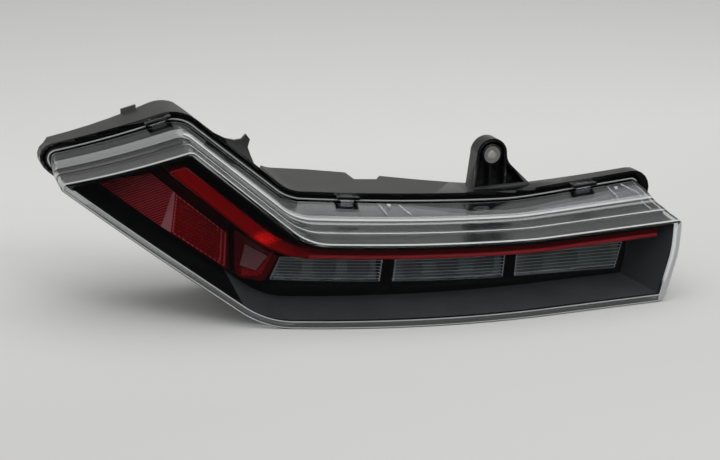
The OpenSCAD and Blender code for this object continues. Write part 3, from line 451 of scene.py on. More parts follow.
def painted_glow_guide(name, bright, dim, bright_x, dim_x, glow):
    """Red acrylic whose colour fades from bright to dim between two x in millimetres, with an oval
    glow on its bend: both are painted light."""
    material, tree, out = new_material(name)
    place = add_node(tree, "ShaderNodeTexCoord")
    along = add_node(tree, "ShaderNodeSeparateXYZ", {"Vector": place.outputs["Object"]})
    share = add_node(tree, "ShaderNodeMapRange", {
        "Value": along.outputs["X"], "From Min": bright_x * MM, "From Max": dim_x * MM},
        interpolation_type="SMOOTHSTEP")
    tone = add_node(tree, "ShaderNodeMix", {
        MIX_SHARE: share.outputs["Result"], MIX_A: srgb(bright), MIX_B: srgb(dim)},
        data_type="RGBA")
    shift = add_node(tree, "ShaderNodeVectorMath", {
        0: place.outputs["Object"], 1: (GLOW_X * MM, 0.0, GLOW_Z * MM)}, operation="SUBTRACT")
    oval = add_node(tree, "ShaderNodeVectorMath", {
        0: shift.outputs["Vector"],
        1: (1 / (GLOW_HALF_X * MM), 0.0, 1 / (GLOW_HALF_Z * MM))}, operation="MULTIPLY")
    far = add_node(tree, "ShaderNodeVectorMath", {0: oval.outputs["Vector"]}, operation="LENGTH")
    edge = add_node(tree, "ShaderNodeMapRange", {
        "Value": far.outputs["Value"], "From Min": GLOW_CORE, "From Max": 1.0},
        interpolation_type="SMOOTHSTEP")
    lit = add_node(tree, "ShaderNodeMix", {
        MIX_SHARE: edge.outputs["Result"], MIX_A: srgb(glow), MIX_B: tone.outputs[MIX_OUT]},
        data_type="RGBA")
    shader = add_node(tree, "ShaderNodeBsdfPrincipled", {
        "Base Color": lit.outputs[MIX_OUT], "Roughness": 0.5, "IOR": PLASTIC_IOR,
        "Specular IOR Level": 0.03})
    tree.links.new(shader.outputs["BSDF"], out.inputs["Surface"])
    return material


def metal(name, code, roughness, grain_mm=0.3, relief=0.1):
    """Plated or metallised surface with fine unevenness."""
    material, tree, out = new_material(name)
    shader = add_node(tree, "ShaderNodeBsdfPrincipled", {
        "Base Color": srgb(code), "Metallic": 1.0, "Roughness": roughness,
        "Normal": grain(tree, grain_mm, relief, distance_mm=0.02)})
    tree.links.new(shader.outputs["BSDF"], out.inputs["Surface"])
    return material


# Talc filled polypropylene straight from the tool: the talc greys it a little green, and the
# eroded tool leaves it matt with a fine grain
HOUSING_PP = moulded("talc_filled_polypropylene_grained", "#2c2e2b", "#353734", 0.45, 0.8, 0.2)
# The same plastic, polished and with a clean sheen, round the rim and at the ear: painted near
# black, a painted shade
HOUSING_PAINTED_SHADE = moulded("talc_filled_polypropylene_painted_shade", "#0e0f10", "#141516", 0.22, 1.0, 0.03)
# Clear acrylic of the outer lens: polished, almost colourless, seen by its mirror images
LENS_PMMA = clear_plastic("clear_acrylic_polished", LENS_TINT)
# Its rounded edges and steps, painted near-white as a painted highlight for the light that gathers
# in them
LENS_EDGE_HIGHLIGHT = painted_highlight_plastic("clear_acrylic_edge_painted_highlight", LENS_TINT, "#f6f8f8", 0.45, 0.12)
# The steep rows of its skirt and the lines beside its tongues: clear, with a breath of white that
# is painted highlight
LENS_HAZE_HIGHLIGHT = painted_highlight_plastic("clear_acrylic_step_painted_highlight", LENS_TINT, "#f0f3f3", 0.75, 0.08)
# Its wide lower rim along the front, which is seen straight on and stays nearly clear, with a faint
# white of painted highlight
LENS_THIN_HIGHLIGHT = painted_highlight_plastic("clear_acrylic_lower_rim_painted_highlight", LENS_TINT, "#f0f3f3", 0.9, 0.05)
# The same rim round the right end, painted whiter as a painted highlight where light runs along the
# wall
LENS_RIM_HIGHLIGHT = painted_highlight_plastic("clear_acrylic_solid_rim_painted_highlight", LENS_TINT, "#f6f8f8", 0.55, 0.06)
# The broad front band of its skirt: fine marks of the tool blur what lies behind it
LENS_SOFT = clear_plastic("clear_acrylic_fine_eroded_step", LENS_TINT, 0.2)
# Its flange in the groove: gloss black, partly for the black sealant right behind the polished
# acrylic and partly painted shade of the groove; the same black on its lower front edge and on one
# row along the wing's upper edge is painted shade
LENS_SEALANT_AND_SHADE = moulded("clear_acrylic_over_sealant_and_painted_shade", "#070808", "#0a0b0b", 0.12, 1.0, 0.01)
# Bezel of black plastic: near black, with a weak broad sheen and no clear mirror images
BEZEL_ABS = moulded("black_abs_polished_tool", "#050608", "#08090b", 0.5, 8.0, 0.01, 30.0, 0.06)
# Its deck and right end wall: the same plastic in a lighter satin grey, as painted light on the
# deck's upward faces and on the end wall
DECK_ABS_PAINTED_LIGHT = moulded("dark_grey_abs_painted_light", "#424345", "#48494b", 0.6, 4.0, 0.02, 30.0, 0.12)
# Red acrylic of the blade: painted light, bright on the diagonal and dim along the bar, with a
# painted glow on its bend
BLADE_PAINTED_GLOW = painted_glow_guide("red_acrylic_light_guide_painted_glow", "#900006", "#6c0608", -92.0, -48.0, "#ff1814")
# Painted highlight: raised strip of the blade, painted pinker for the light from above that its
# edges catch
BLADE_STRIP_HIGHLIGHT = red_plastic("red_acrylic_strip_painted_highlight", "#a8242c", "#b42c34", 0.3, 0.1, 0.2)
# Stop lens: smoked red, polished, so that the cup behind it shows only dimly
STOP_PMMA = red_plastic("smoked_red_acrylic", "#7c060c", "#900810", 0.12, 0.35, 0.2)
# Painted glow: prisms low on the stop lens, painted a brighter red where light gathers
SPARK_PAINTED_GLOW = red_plastic("mid_red_acrylic_prisms_painted_glow", "#b00a12", "#c0141c", 0.3, 0.0, 0.15)
# Plate behind the reflector: the same red, but thick and unlit, so almost black
CARRIER_PMMA = red_plastic("dark_red_acrylic_carrier", "#3c060a", "#4a080c", 0.25)
# Reflex prisms moulded in red acrylic: they send light back to its source, so they look deep red
REFLEX_PMMA = red_plastic("red_reflex_acrylic", "#7c0006", "#8e0208", 0.15)
# Grooves between the ribs, as deep in colour but duller
REFLEX_DEEP = red_plastic("red_reflex_acrylic_grooves", "#74040b", "#84060e", 0.2)
# Painted reflection: dashes of prism edges painted almost pink, as they mirror the sky
REFLEX_PAINTED_GLINT = red_plastic("red_reflex_prism_edges_painted_reflection", "#d85460", "#e46470", 0.3)
# Painted highlight: crests of the ribs, rounded by the tool, painted in thin paler lines for the
# light they gather
RIB_CREST_HIGHLIGHT = red_plastic("red_reflex_rib_crest_painted_highlight", "#a8323c", "#b43e48", 0.3)
# Painted reflection: face of the ridge and the one on the stop lens, painted pale, as they lean up
# and mirror the sky
RIDGE_PAINTED_REFLECTION = red_plastic("pale_red_acrylic_ridge_painted_reflection", "#b4686a", "#c07678", 0.3)
STOP_FACET_PAINTED_REFLECTION = red_plastic("smoked_red_acrylic_facet_painted_reflection", "#966268", "#a26c72", 0.3)
# Fluted panes: clear acrylic with a faint smoke
PANE_PMMA = clear_plastic("fluted_clear_acrylic", PANE_TINT, 0.03)
# Painted highlight: the grooves between their flutes and the panes' border, painted in soft pale
# lines for the light they gather
PANE_GROOVE_HIGHLIGHT = painted_highlight_plastic("fluted_acrylic_groove_painted_highlight", PANE_TINT, "#f4f6f6", 0.12, 0.3)
# Cups with a vacuum deposited aluminium film: bright, and a little soft from the lacquer below
CUP_FILM = metal("vacuum_metallised_reflector", "#d2d5d8", 0.32)
# Steel bush, studs and screws, zinc plated: a warm pale grey with a slight crystalline grain
ZINC = metal("zinc_plated_steel", "#cfcec9", 0.42, 0.6, 0.2)
# Circuit board: glass cloth under green solder mask, with a smooth wet look
BOARD_FR4 = moulded("green_solder_mask_on_glass_epoxy", "#0f3d22", "#14492a", 0.35, 1.0, 0.08)
# The sources' cast epoxy: pale yellow from the phosphor in it
LED_EPOXY = moulded("cast_epoxy_source_package", "#e6dfb8", "#f0e9c6", 0.3, 0.4, 0.02)
# Glass filled nylon of the socket: the fibres leave a faint mottled grain
SOCKET_PA = moulded("glass_filled_nylon_moulded", "#191a1b", "#212223", 0.45, 0.3, 0.15)
# Tin plated pins: smooth, pale and slightly yellow from the brass below
PIN_TIN = metal("tin_plated_brass", "#cbc6b0", 0.25)
# Butyl sealant laid as a bead: soft black with slow waves
BUTYL = moulded("butyl_sealant_bead", "#0a0a0b", "#101011", 0.6, 2.0, 0.3)
# Closed cell foam, cut: dull, with its open cells as grain
FOAM = moulded("closed_cell_foam_cut", "#17181a", "#222326", 0.9, 0.8, 0.6)
# Rubber cap of the breather: soft and dull
CAP_EPDM = moulded("moulded_epdm_cap", "#141414", "#1c1c1c", 0.65, 0.5, 0.2)


def soften(profile, turns):
    """Corner cutting: each pass puts points at a quarter and three quarters of every step, which
    tends to a smooth curve inside the original."""
    for _ in range(turns):
        quarter = profile[:-1] * 0.75 + profile[1:] * 0.25
        three = profile[:-1] * 0.25 + profile[1:] * 0.75
        cut = np.stack([quarter, three], axis=1).reshape(-1, profile.shape[1])
        profile = np.vstack([profile[:1], cut, profile[-1:]])
    return profile


def lens_ring(depth, growth, shift):
    """Outline of the lens at one depth: the face blended towards the flange, then pushed."""
    return lift(outline(pushed(FACE + (FLANGE - FACE) * growth, shift)), depth)


# Numbers of the lens's materials
CLEAR, HIGHLIGHT_EDGE, HIGHLIGHT_HAZE, HIGHLIGHT_RIM, SEALANT_SHADE, HIGHLIGHT_THIN, SOFT = range(7)
# Rows of the rounded skirt that read as lines, white ones in painted highlight and a black one in
# painted shade: number, look all round, and look along the wing's upper edge from the peak to the
# tip
STEP_LOOKS = [(7, HIGHLIGHT_EDGE, CLEAR), (12, CLEAR, SEALANT_SHADE), (13, HIGHLIGHT_HAZE, HIGHLIGHT_HAZE), (14, CLEAR, HIGHLIGHT_HAZE),
              (15, HIGHLIGHT_EDGE, HIGHLIGHT_HAZE), (16, HIGHLIGHT_HAZE, HIGHLIGHT_HAZE), (17, CLEAR, HIGHLIGHT_HAZE)]
# Rows of the skirt's front band, rows of the flange in the groove, clear rows of the rounded
# front edge along the top, and its rows of painted shade along the bottom
SOFT_ROWS, FLANGE_ROWS, CLEAR_ROWS, SHADE_ROWS = 12, 5, 2, 3
# Number of the point, along the outline from the tip, where the hazy start of the rim, in painted
# highlight, ends
HAZE_HIGHLIGHT_END = ROUND_STEPS + 4


def corner_start(i):
    """Number of the first point of one corner's arc along an outline."""
    return sum(EDGE_STEPS[:i]) + i * ROUND_STEPS


def make_lens():
    """Clear shell with a stepped skirt: outer profile from the face's bevel to the lip, round the
    foot, and back along the inner profile to the inner face."""
    start = ROUND_STEPS // 2
    right = corner_start(TOP_RIGHT) + start
    outer = soften(np.column_stack([SKIRT[:, 0] * SKIRT_D, SKIRT[:, 1]]), 2)
    outer[:, 0] = np.maximum(outer[:, 0], FACE_EDGE)
    bevel_angle = np.radians(np.linspace(90, 0, BEVEL_ROWS + 1)[:-1])
    bevel = [lens_ring(FACE_EDGE * (1 - math.sin(a)), 0.0, -FACE_EDGE * (1 - math.cos(a)))
             for a in bevel_angle]
    rim = [lens_ring(0.0, 0.0, -RIM_W), lens_ring(0.0, 0.0, RIM_LINE - RIM_W)]
    skirt = [lens_ring(d, g, 0.0) for d, g in outer]
    back = SKIRT_D + FACE_EDGE
    foot = [lens_ring(SKIRT_D, 1.0, LIP_LINE), lens_ring(SKIRT_D, 1.0, LIP),
            lens_ring(back, 1.0, LIP), lens_ring(back, 1.0, 0.0),
            lens_ring(SKIRT_D + FOOT_LEN, 1.0, 0.0), lens_ring(SKIRT_D + FOOT_LEN, 1.0, -LENS_WALL)]
    inner = [lens_ring(max(LENS_WALL, d), g, -LENS_WALL) for d, g in outer[::-1]]
    rings = rim + bevel + skirt + foot + inner
    # White rows of the lens are painted highlights
    which = np.full((len(rings) - 1, len(rings[0])), CLEAR)
    first = len(rim) + len(bevel)
    which[len(rim):first] = HIGHLIGHT_EDGE
    wing = np.ones(len(rings[0]), bool)
    wing[start:corner_start(PEAK) + start] = False
    which[first:first + SOFT_ROWS, ~wing] = SOFT
    for row, bar_look, wing_look in STEP_LOOKS:
        which[first + row] = np.where(wing, wing_look, bar_look)
    which[len(rim):len(rim) + CLEAR_ROWS, right:] = CLEAR
    lip = first + len(skirt)
    which[lip - 1] = HIGHLIGHT_EDGE
    # Black flange rows for the sealant behind them and the groove's painted shade; the black rows
    # along the lower front edge are painted shade
    which[lip:lip + FLANGE_ROWS] = SEALANT_SHADE
    which[first - SHADE_ROWS:first + 1, start:right] = SEALANT_SHADE
    which[1, start:corner_start(RIGHT_FOOT)] = HIGHLIGHT_THIN
    which[1, start:HAZE_HIGHLIGHT_END] = HIGHLIGHT_HAZE
    which[1, corner_start(RIGHT_FOOT):right] = HIGHLIGHT_RIM
    which[0, start:right] = HIGHLIGHT_EDGE
    looks = (LENS_PMMA, LENS_EDGE_HIGHLIGHT, LENS_HAZE_HIGHLIGHT, LENS_RIM_HIGHLIGHT, LENS_SEALANT_AND_SHADE, LENS_THIN_HIGHLIGHT, LENS_SOFT)
    piece = capped_loft("lens_shell", rings, looks, (start, right), 0.0, LENS_WALL,
                        which, crease=28.0, rows=14)
    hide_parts("outer_lens")


def top_height(x, growth):
    """Height of the top line of the lens at one x, between the face and the flange."""
    line = (FACE + (FLANGE - FACE) * growth)[[TIP, PEAK, BEND, TOP_MID, TOP_RIGHT]]
    return np.interp(x, line[:, 0], line[:, 1])


def block(name, x, low, high, front, back):
    """Small clear block on the flange between two x, two heights over the lens's top line and two
    depths."""
    corners = np.meshgrid(x, [low, high], [front, back], indexing="ij")
    x, height, depth = (v.ravel() for v in corners)
    points = np.column_stack([x, sweep(x) + depth, top_height(x, 1.0) + height])
    faces = [[0, 1, 3, 2], [4, 6, 7, 5], [0, 4, 5, 1], [2, 3, 7, 6], [0, 2, 6, 4], [1, 5, 7, 3]]
    new_object(name, points, faces, LENS_PMMA)


def growth_at(depth):
    """Growth of the skirt at one depth."""
    return np.interp(depth / SKIRT_D, SKIRT[:, 0], SKIRT[:, 1])


def rib(name, ends, width):
    """Thin raised line on top of the skirt through points of x and depth."""
    x, depth = np.array(ends, float).T
    share = np.linspace(0, 1, 12)
    knots = np.linspace(0, 1, len(x))
    x, depth = np.interp(share, knots, x), np.interp(share, knots, depth)
    base = np.array([top_height(a, growth_at(d)) for a, d in zip(x, depth)])
    sides = [(-width / 2, -PAD_SUNK), (width / 2, -PAD_SUNK), (width / 2, PAD_RISE),
             (-width / 2, PAD_RISE)]
    points = np.vstack([np.column_stack([x + side, sweep(x) + depth, base + up])
                        for side, up in sides])
    index = np.arange(len(points)).reshape(4, len(x))
    faces = grid_faces(index, wrap_rows=True) + [index[:, 0].tolist(), index[::-1, -1].tolist()]
    # The lines and dots are white with painted highlight
    new_object(name, points, faces, LENS_HAZE_HIGHLIGHT)


def make_pads():
    """Slanted lines and a dot beside two snap tongues, moulded on the skirt."""
    for number, ends in enumerate(PAD_LINES):
        rib("lens_line_%d" % number, ends, LINE_W)
    for number, (x, depth) in enumerate(PAD_DOTS):
        rib("lens_dot_%d" % number, [(x, depth - DOT_HALF), (x, depth + DOT_HALF)], DOT_W)


def make_lugs():
    """The lugs of the lens that stand in the windows of the snap tongues."""
    for number, (x, width) in enumerate(TONGUES):
        half = width / 2 - TONGUE_LEG
        block("lens_lug_%d" % number, [x - half, x + half], LUG_BASE, LIP + TONGUE_OUT,
              SKIRT_D - LUG_FRONT, SKIRT_D + LUG_BACK)


def window_corners(i):
    """Corners of one signal window as x and z: lower left, lower right, upper right, upper left."""
    net = WINDOW_RIGHT - WINDOW_LEFT - 2 * WINDOW_GAP
    a = WINDOW_LEFT + net * sum(WINDOW_SHARE[:i]) + WINDOW_GAP * i
    b = a + net * WINDOW_SHARE[i]
    u = (np.array([a, b]) - WINDOW_LEFT) / (WINDOW_RIGHT - WINDOW_LEFT)
    top = WINDOW_TOP - WINDOW_FALL * u
    low = top - WINDOW_H - WINDOW_GROW * u
    lean = WINDOW_LEAN[i]
    return np.array([[a - lean[0], low[0]], [b - lean[1], low[1]], [b, top[1]], [a, top[0]]])


def make_pane(i):
    """Clear pane whose front is a row of convex flutes: depth falls by a parabola across each
    flute, over a bilinear patch between the window's corners. Its border and the grooves between
    the flutes take the second material, a painted highlight."""
    w = window_corners(i)
    columns, per_flute, border_rows = 96, 10, 3
    v = np.linspace(0, 1, FLUTES * per_flute + 1)[:, None]
    u = np.linspace(0, 1, columns + 1)[None, :]
    xz = ((w[0] * (1 - u[..., None]) + w[1] * u[..., None]) * (1 - v[..., None])
          + (w[3] * (1 - u[..., None]) + w[2] * u[..., None]) * v[..., None])
    s = (v * FLUTES) % 1.0
    crown = PANE_D + FLUTE_RISE - 4 * FLUTE_RISE * s * (1 - s) + 0 * u
    front = np.stack([xz[..., 0], sweep(xz[..., 0]) + crown, xz[..., 1]], axis=-1)
    pale = np.zeros((v.size - 1, columns), np.int32)
    pale[::per_flute] = pale[per_flute - 1::per_flute] = 1
    pale[:border_rows] = pale[-border_rows:] = pale[:, 0] = pale[:, -1] = 1
    piece = solid_patch("fluted_pane_" + SIDES[i], front, PANE_D + PANE_T, (PANE_PMMA, PANE_GROOVE_HIGHLIGHT),
                        pale, crease=50)
    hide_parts("signal_pane_" + SIDES[i])


def edge_height(i, shift, x):
    """Height of the face's edge after corner i at one x, once it is moved outward by the shift."""
    _, after = edge_normals(FACE)
    a, b = FACE[i], FACE[(i + 1) % len(FACE)]
    return a[1] + (b[1] - a[1]) * (x - a[0]) / (b[0] - a[0]) + shift / after[i][1]


def face_corner(i, shift_before, shift_after):
    """Corner i of the face with its two edges moved."""
    before, after = edge_normals(FACE)
    move = mitre(before[i:i + 1], after[i:i + 1], np.array([shift_before]), np.array([shift_after]))
    return FACE[i, :2] + move[0]


def reflex_corners():
    """Corners of the reflector's front as x, z and depth, counter-clockwise from the left."""
    first = face_corner(TIP, -BLADE_IN, -REFLEX_LOW)
    last = face_corner(PEAK, -REFLEX_UP, -BLADE_IN)
    return np.array([
        [*first, 30.0],
        [RIDGE_LOW_X, edge_height(TIP, -REFLEX_LOW, RIDGE_LOW_X), 20.0],
        [REFLEX_RIGHT, edge_height(TIP, -REFLEX_LOW, REFLEX_RIGHT), 30.0],
        [REFLEX_RIGHT, edge_height(BEND, -REFLEX_UP, REFLEX_RIGHT), 24.0],
        [RIDGE_TOP_X, edge_height(BEND, -REFLEX_UP, RIDGE_TOP_X), 16.0],
        [*last, 20.0],
    ])


def patch(corners, cells, relief):
    """Bilinear patch between four corners (x, z, depth), in columns and rows of cells, with a
    relief in depth that is a function of x and z and fades out at the border."""
    u = np.linspace(0, 1, cells[0] + 1)[None, :, None]
    v = np.linspace(0, 1, cells[1] + 1)[:, None, None]
    low_line = corners[0] * (1 - u) + corners[1] * u
    high_line = corners[3] * (1 - u) + corners[2] * u
    c = low_line * (1 - v) + high_line * v
    inward = np.minimum(np.minimum(u, 1 - u), np.minimum(v, 1 - v))[..., 0]
    depth = c[..., 2] + relief(c[..., 0], c[..., 1]) * np.minimum(1.0, RELIEF_GROWTH * inward)
    return np.stack([c[..., 0], sweep(c[..., 0]) + depth, c[..., 1]], axis=-1)


def at_depth(corners, depth):
    """Corners of x and z, all at one depth."""
    return np.column_stack([corners, np.full(len(corners), depth)])


def flat(x, z):
    """No relief."""
    return 0 * x


def ribs(x, z):
    """Slanted prism ribs: a triangle wave across lines that climb to the right."""
    across = (z * math.cos(RIB_SLOPE) - x * math.sin(RIB_SLOPE)) / RIB_PITCH
    return RIB_DEPTH * np.abs(across % 1.0 - 0.5) * 2


def pyramids(x, z):
    """Reflex prisms: the least of three triangle waves at 60 degrees to each other."""
    waves = [np.abs(((x * math.cos(a) + z * math.sin(a)) / PRISM_PITCH) % 1.0 - 0.5) * 2
             for a in np.radians([0, 60, 120])]
    return PRISM_DEPTH * np.minimum.reduce(waves)


def solid_patch(name, grid, back, material, bright=None, crease=20):
    """Closed solid behind a front grid, down to one depth behind the swept face. The front's
    bright cells take the second material."""
    rows, columns = grid.shape[:2]
    rear = grid.copy()
    rear[..., 1] = sweep(rear[..., 0]) + back
    index = np.arange(rows * columns).reshape(rows, columns)
    behind = index + rows * columns
    faces = grid_faces(index) + grid_faces(behind[:, ::-1])
    for a, b in ((index[0], behind[0]), (index[-1], behind[-1]), (index[:, 0], behind[:, 0]),
                 (index[:, -1], behind[:, -1])):
        faces += grid_faces(np.vstack([a, b]))
    points = np.vstack([grid.reshape(-1, 3), rear.reshape(-1, 3)])
    which = np.zeros(len(faces), np.int32)
    if bright is not None:
        which[:bright.size] = bright.ravel()
    return new_object(name, points, faces, material, crease=crease, which=which)


def from_edge(grid):
    """Rows and columns of a grid's cells, and how many cells each is from the border."""
    rows, columns = grid.shape[0] - 1, grid.shape[1] - 1
    row, column = np.meshgrid(np.arange(rows), np.arange(columns), indexing="ij")
    return row, column, np.minimum.reduce([row, rows - 1 - row, column, columns - 1 - column])


def beads(grid, gap):
    """Ring of cells at a gap from the border of a grid, as dashes of half the pitch."""
    row, column, edge = from_edge(grid)
    dash = (row + column) % BEAD_PITCH < BEAD_PITCH // 2
    return (edge >= gap) & (edge < gap + BEAD_W) & dash


def rib_crest_highlights(grid):
    """Cells of the ribbed facet that lie on a rib's crest, and those of its thin border, which take
    the painted highlight.
    """
    _, column, edge = from_edge(grid)
    middle = (grid[:-1, :-1] + grid[1:, 1:]) / 2
    crest = ribs(middle[..., 0], middle[..., 2]) < CREST_RELIEF
    return (crest & (column > CREST_FROM)) | (edge < CREST_BORDER)


def make_reflex():
    """A ribbed facet, a facet with reflex prisms, and a three-sided one between them, pale with
    painted reflection.
    """
    q = reflex_corners()
    x = RIDGE_LOW_X + RIDGE_LOW_W
    foot = np.array([x, edge_height(TIP, -REFLEX_LOW, x), RIDGE_LOW_D])
    left = patch(q[[0, 1, 4, 5]], RIB_CELLS, ribs)
    right = patch(np.array([foot, q[2], q[3], q[4]]), PRISM_CELLS, pyramids)
    ridge = patch(np.array([q[1], foot, q[4], q[4] - [RIDGE_TOP_W, 0, 0]]), RIDGE_CELLS, flat)
    near_end = from_edge(right)[1] > BEAD_FROM
    # The dashes carry the painted reflection of the prism edges
    dashes = beads(right, BEAD_OUTER) | (beads(right, BEAD_INNER) & near_end)
    piece = solid_patch("reflex_ribbed_facet", left, REFLEX_BACK, (REFLEX_DEEP, RIB_CREST_HIGHLIGHT),
                        rib_crest_highlights(left))
    solid_patch("reflex_prism_facet", right, REFLEX_BACK, (REFLEX_PMMA, REFLEX_PAINTED_GLINT),
                dashes)
    solid_patch("reflex_ridge_facet", ridge, REFLEX_BACK, RIDGE_PAINTED_REFLECTION)
    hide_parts("reflex_reflector")


def make_prisms():
    """Prisms on the blade's bend and round the lower right of the stop lens, bright with painted
    glow."""
    for name, corners, front, back, material in (
            ("blade_bend_prisms", BEND_FACE, BEND_FRONT, BEND_BACK, BLADE_PAINTED_GLOW),
            ("stop_lens_low_prisms", STOP_LOW_FACE, STOP_FRONT, STOP_BACK, SPARK_PAINTED_GLOW),
            ("stop_lens_side_prisms", STOP_SIDE_FACE, STOP_FRONT, STOP_BACK, SPARK_PAINTED_GLOW)):
        grid = patch(at_depth(corners, front), SMALL_CELLS, pyramids)
        solid_patch(name, grid, back, material)


def make_stop_facet():
    """Slanted face on the raised facet of the stop lens, pale with painted reflection."""
    grid = patch(at_depth(FACET_FACE, FACET_FRONT), FACET_CELLS, flat)
    solid_patch("stop_lens_facet", grid, FACET_BACK, STOP_FACET_PAINTED_REFLECTION)


def housing_shade_by_place(middle, depth, normal):
    """The rim, and all that lies right of the shelf, are polished and take the painted shade."""
    over = middle[:, 2] - top_height(middle[:, 0], 1.0)
    return ((depth < RIM_BACK) & (over < RIM_OVER)) | (middle[:, 0] > SHADE_FROM)


def bezel_light_by_place(middle, depth, normal):
    """The deck that rises from the front edge, and the right end wall, take the lighter satin grey
    of painted light.
    """
    deck = (normal[:, 2] > DECK_UP) & (middle[:, 2] < DECK_TOP) & (middle[:, 0] > DECK_FROM)
    wall = (normal[:, 0] < WALL_TURN) & (middle[:, 0] > WINDOW_RIGHT)
    return deck | wall


def blade_highlight_by_place(middle, depth, normal):
    """The raised strip along the bar is paler, and so is the bevel round the head: painted
    highlight.
    """
    strip = (depth < BLADE_D - STRIP_RISE) & (middle[:, 0] > BAR_FROM)
    head = (middle[:, 0] < HEAD_TO) & (np.abs(depth - BLADE_D - BEVEL_D) < BEVEL_HALF)
    return strip | head


# Depth and height where the housing's rim ends, and the x from which all of it takes the painted
# shade
RIM_BACK, RIM_OVER, SHADE_FROM = 64.5, 7.5, 62.0
# Bounds of the bezel's painted light: height over which the bezel isn't deck, the x where the deck
# starts, the least upward part of its normals, and the greatest rightward part of the end wall's
DECK_TOP, DECK_FROM = 34.0, -106.0
DECK_UP, WALL_TURN = 0.35, -0.5
# Where the blade's bar starts, and how far its head's painted highlight reaches
BAR_FROM, HEAD_TO = -60.0, -130.0
# Least height of the painted highlight strip over the blade's front, and the bevel's middle behind
# it with its half
STRIP_RISE, BEVEL_D, BEVEL_HALF = 0.5, 0.6, 0.5
BY_PLACE = {"housing": housing_shade_by_place, "bezel": bezel_light_by_place, "light_blade": blade_highlight_by_place}
SMOOTH_NODES = {
    "housing": ((HOUSING_PP, HOUSING_PAINTED_SHADE), "black_housing"),
    "bezel": ((BEZEL_ABS, DECK_ABS_PAINTED_LIGHT), "dark_bezel"),
    "light_blade": ((BLADE_PAINTED_GLOW, BLADE_STRIP_HIGHLIGHT), "red_lens"),
    "stop_lens": (STOP_PMMA, "red_lens"),
    "reflex_carrier": (CARRIER_PMMA, "red_lens"),
    "lens_seal": (BUTYL, "sealant"),
    "reflector_left": (CUP_FILM, "bright_reflector"),
    "reflector_middle": (CUP_FILM, "bright_reflector"),
    "reflector_right": (CUP_FILM, "bright_reflector"),
    "stop_reflector": (CUP_FILM, "bright_reflector"),
    "mounting_bush": (ZINC, "plated_steel"),
    "mounting_studs": (ZINC, "plated_steel"),
    "bezel_screws": (ZINC, "plated_steel"),
    "board_screws": (ZINC, "plated_steel"),
    "harness_socket": (SOCKET_PA, "black_connector"),
    "vent_cap": (CAP_EPDM, "soft_cap"),
}
PLAIN_NODES = {
    "board_left": BOARD_FR4,
    "board_middle": BOARD_FR4,
    "board_right": BOARD_FR4,
    "stop_board": BOARD_FR4,
    "light_sources": LED_EPOXY,
    "socket_pins": PIN_TIN,
    "body_gasket": FOAM,
}


def dress_nodes():
    """Merged smooth copies where the shape is rounded, and the model's own nodes elsewhere."""
    for name, (material, slot) in SMOOTH_NODES.items():
        copy_of_node(name, material)
    for name, material in PLAIN_NODES.items():
        NODES[name].data.materials.clear()
        NODES[name].data.materials.append(material)


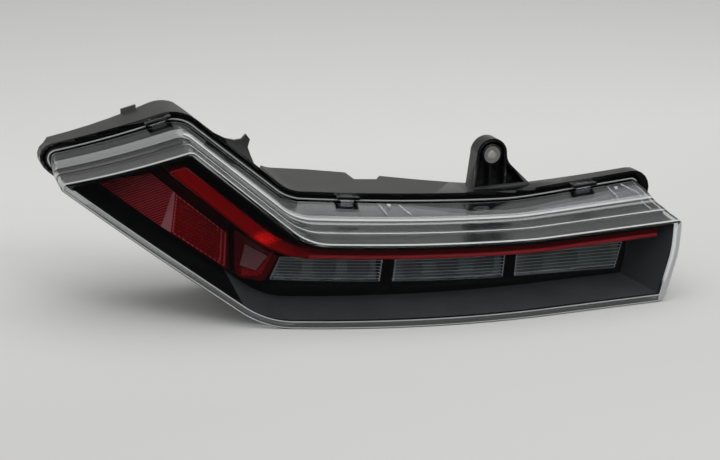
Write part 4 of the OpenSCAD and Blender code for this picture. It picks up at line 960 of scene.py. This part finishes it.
def make_floor():
    """Pale studio sweep: a floor that curves up into a backdrop, as a profile along x. Its tone
    drifts between two y, and what lies before a third is painted dark in reflections and through
    clear plastic, a painted shade for the dark front of a studio; those three are in metres."""
    half, front, behind, bend, height = 3000.0, -2600.0, 1500.0, 700.0, 3200.0
    tone_from, tone_to, painted_dark_before = -0.2, 0.4, -0.06
    angle = np.radians(np.linspace(0, 90, 24))
    curve = np.column_stack([behind + bend * np.sin(angle), bend * (1 - np.cos(angle))])
    profile = np.vstack([[front, 0.0], curve, [behind + bend, height]])
    x = np.linspace(-half, half, 9)
    points = np.column_stack([np.repeat(x, len(profile)), np.tile(profile, (len(x), 1))])
    index = np.arange(len(points)).reshape(len(x), len(profile))
    material, tree, out = new_material("matt_studio_sweep")
    place = add_node(tree, "ShaderNodeTexCoord")
    along = add_node(tree, "ShaderNodeSeparateXYZ", {"Vector": place.outputs["Object"]})
    rise = add_node(tree, "ShaderNodeMapRange", {
        "Value": along.outputs["Y"], "From Min": tone_from, "From Max": tone_to})
    tone = add_node(tree, "ShaderNodeMix", {
        MIX_SHARE: rise.outputs["Result"], MIX_A: srgb("#cbcbc9"), MIX_B: srgb("#dededc")},
        data_type="RGBA")
    pale = add_node(tree, "ShaderNodeBsdfDiffuse", {"Color": tone.outputs[MIX_OUT]})
    # Painted shade: near the front the floor is dark in reflections and through clear plastic
    dark = add_node(tree, "ShaderNodeBsdfDiffuse", {"Color": srgb("#303030")})
    path = add_node(tree, "ShaderNodeLightPath")
    near = add_node(tree, "ShaderNodeMath", {
        0: along.outputs["Y"], 1: painted_dark_before}, operation="LESS_THAN")
    bounced = add_node(tree, "ShaderNodeMath", {
        0: path.outputs["Is Transmission Ray"], 1: path.outputs["Is Glossy Ray"]},
        operation="MAXIMUM")
    painted_dark_reflection = add_node(tree, "ShaderNodeMath", {
        0: near.outputs["Value"], 1: bounced.outputs["Value"]}, operation="MULTIPLY")
    mix = add_node(tree, "ShaderNodeMixShader", {
        "Fac": painted_dark_reflection.outputs["Value"], 1: pale.outputs["BSDF"], 2: dark.outputs["BSDF"]})
    tree.links.new(mix.outputs["Shader"], out.inputs["Surface"])
    floor = new_object("studio_sweep", points, grid_faces(index), material, body=None)


def area_lamp(name, place, aim, size, power):
    """Rectangular softbox that looks at a point."""
    light = bpy.data.lights.new(name, "AREA")
    light.shape = "RECTANGLE"
    light.size, light.size_y = size
    light.energy = power
    lamp = bpy.data.objects.new(name, light)
    bpy.context.scene.collection.objects.link(lamp)
    lamp.location = place
    turn_to(lamp, aim)


def turn_to(thing, aim):
    """Turns a lamp or camera so that its -Z axis meets a point."""
    away = Vector(aim) - Vector(thing.location)
    thing.rotation_euler = away.to_track_quat("-Z", "Y").to_euler()


def light_scene():
    """One wide softbox overhead, a weak fill from the front and a pale room."""
    area_lamp("overhead_softbox", (0.05, -0.1, 1.5), (0.0, -0.05, 0.0), (2.2, 1.8), 13.5)
    area_lamp("front_softbox", (0.3, -1.1, 1.2), (0.0, -0.05, 0.05), (0.6, 0.5), 4.0)
    world = bpy.data.worlds.new("pale_room")
    bpy.context.scene.world = world
    world.use_nodes = True
    tree = world.node_tree
    tree.nodes.clear()
    room = add_node(tree, "ShaderNodeBackground", {"Color": srgb("#e4e4e4"), "Strength": 0.72})
    out = add_node(tree, "ShaderNodeOutputWorld")
    tree.links.new(room.outputs["Background"], out.inputs["Surface"])


def place_camera():
    """The photograph's view: from the front, 20 degrees to the left and 17 degrees up."""
    target = np.array([-28.0, -82.7, 76.0]) * MM
    turn, rise, away = math.radians(-20.0), math.radians(17.0), 1.3
    step = np.array([math.sin(turn) * math.cos(rise), -math.cos(turn) * math.cos(rise),
                     math.sin(rise)])
    data = bpy.data.cameras.new("camera")
    data.sensor_width = 36.0
    data.lens = 90.3
    camera = bpy.data.objects.new("camera", data)
    bpy.context.scene.collection.objects.link(camera)
    camera.location = target + step * away
    turn_to(camera, target)
    bpy.context.scene.camera = camera


make_lens()
make_lugs()
make_pads()
for number in range(len(SIDES)):
    make_pane(number)
make_reflex()
make_stop_facet()
make_prisms()
dress_nodes()
make_floor()
light_scene()
place_camera()
bpy.context.scene.view_settings.view_transform = "Standard"
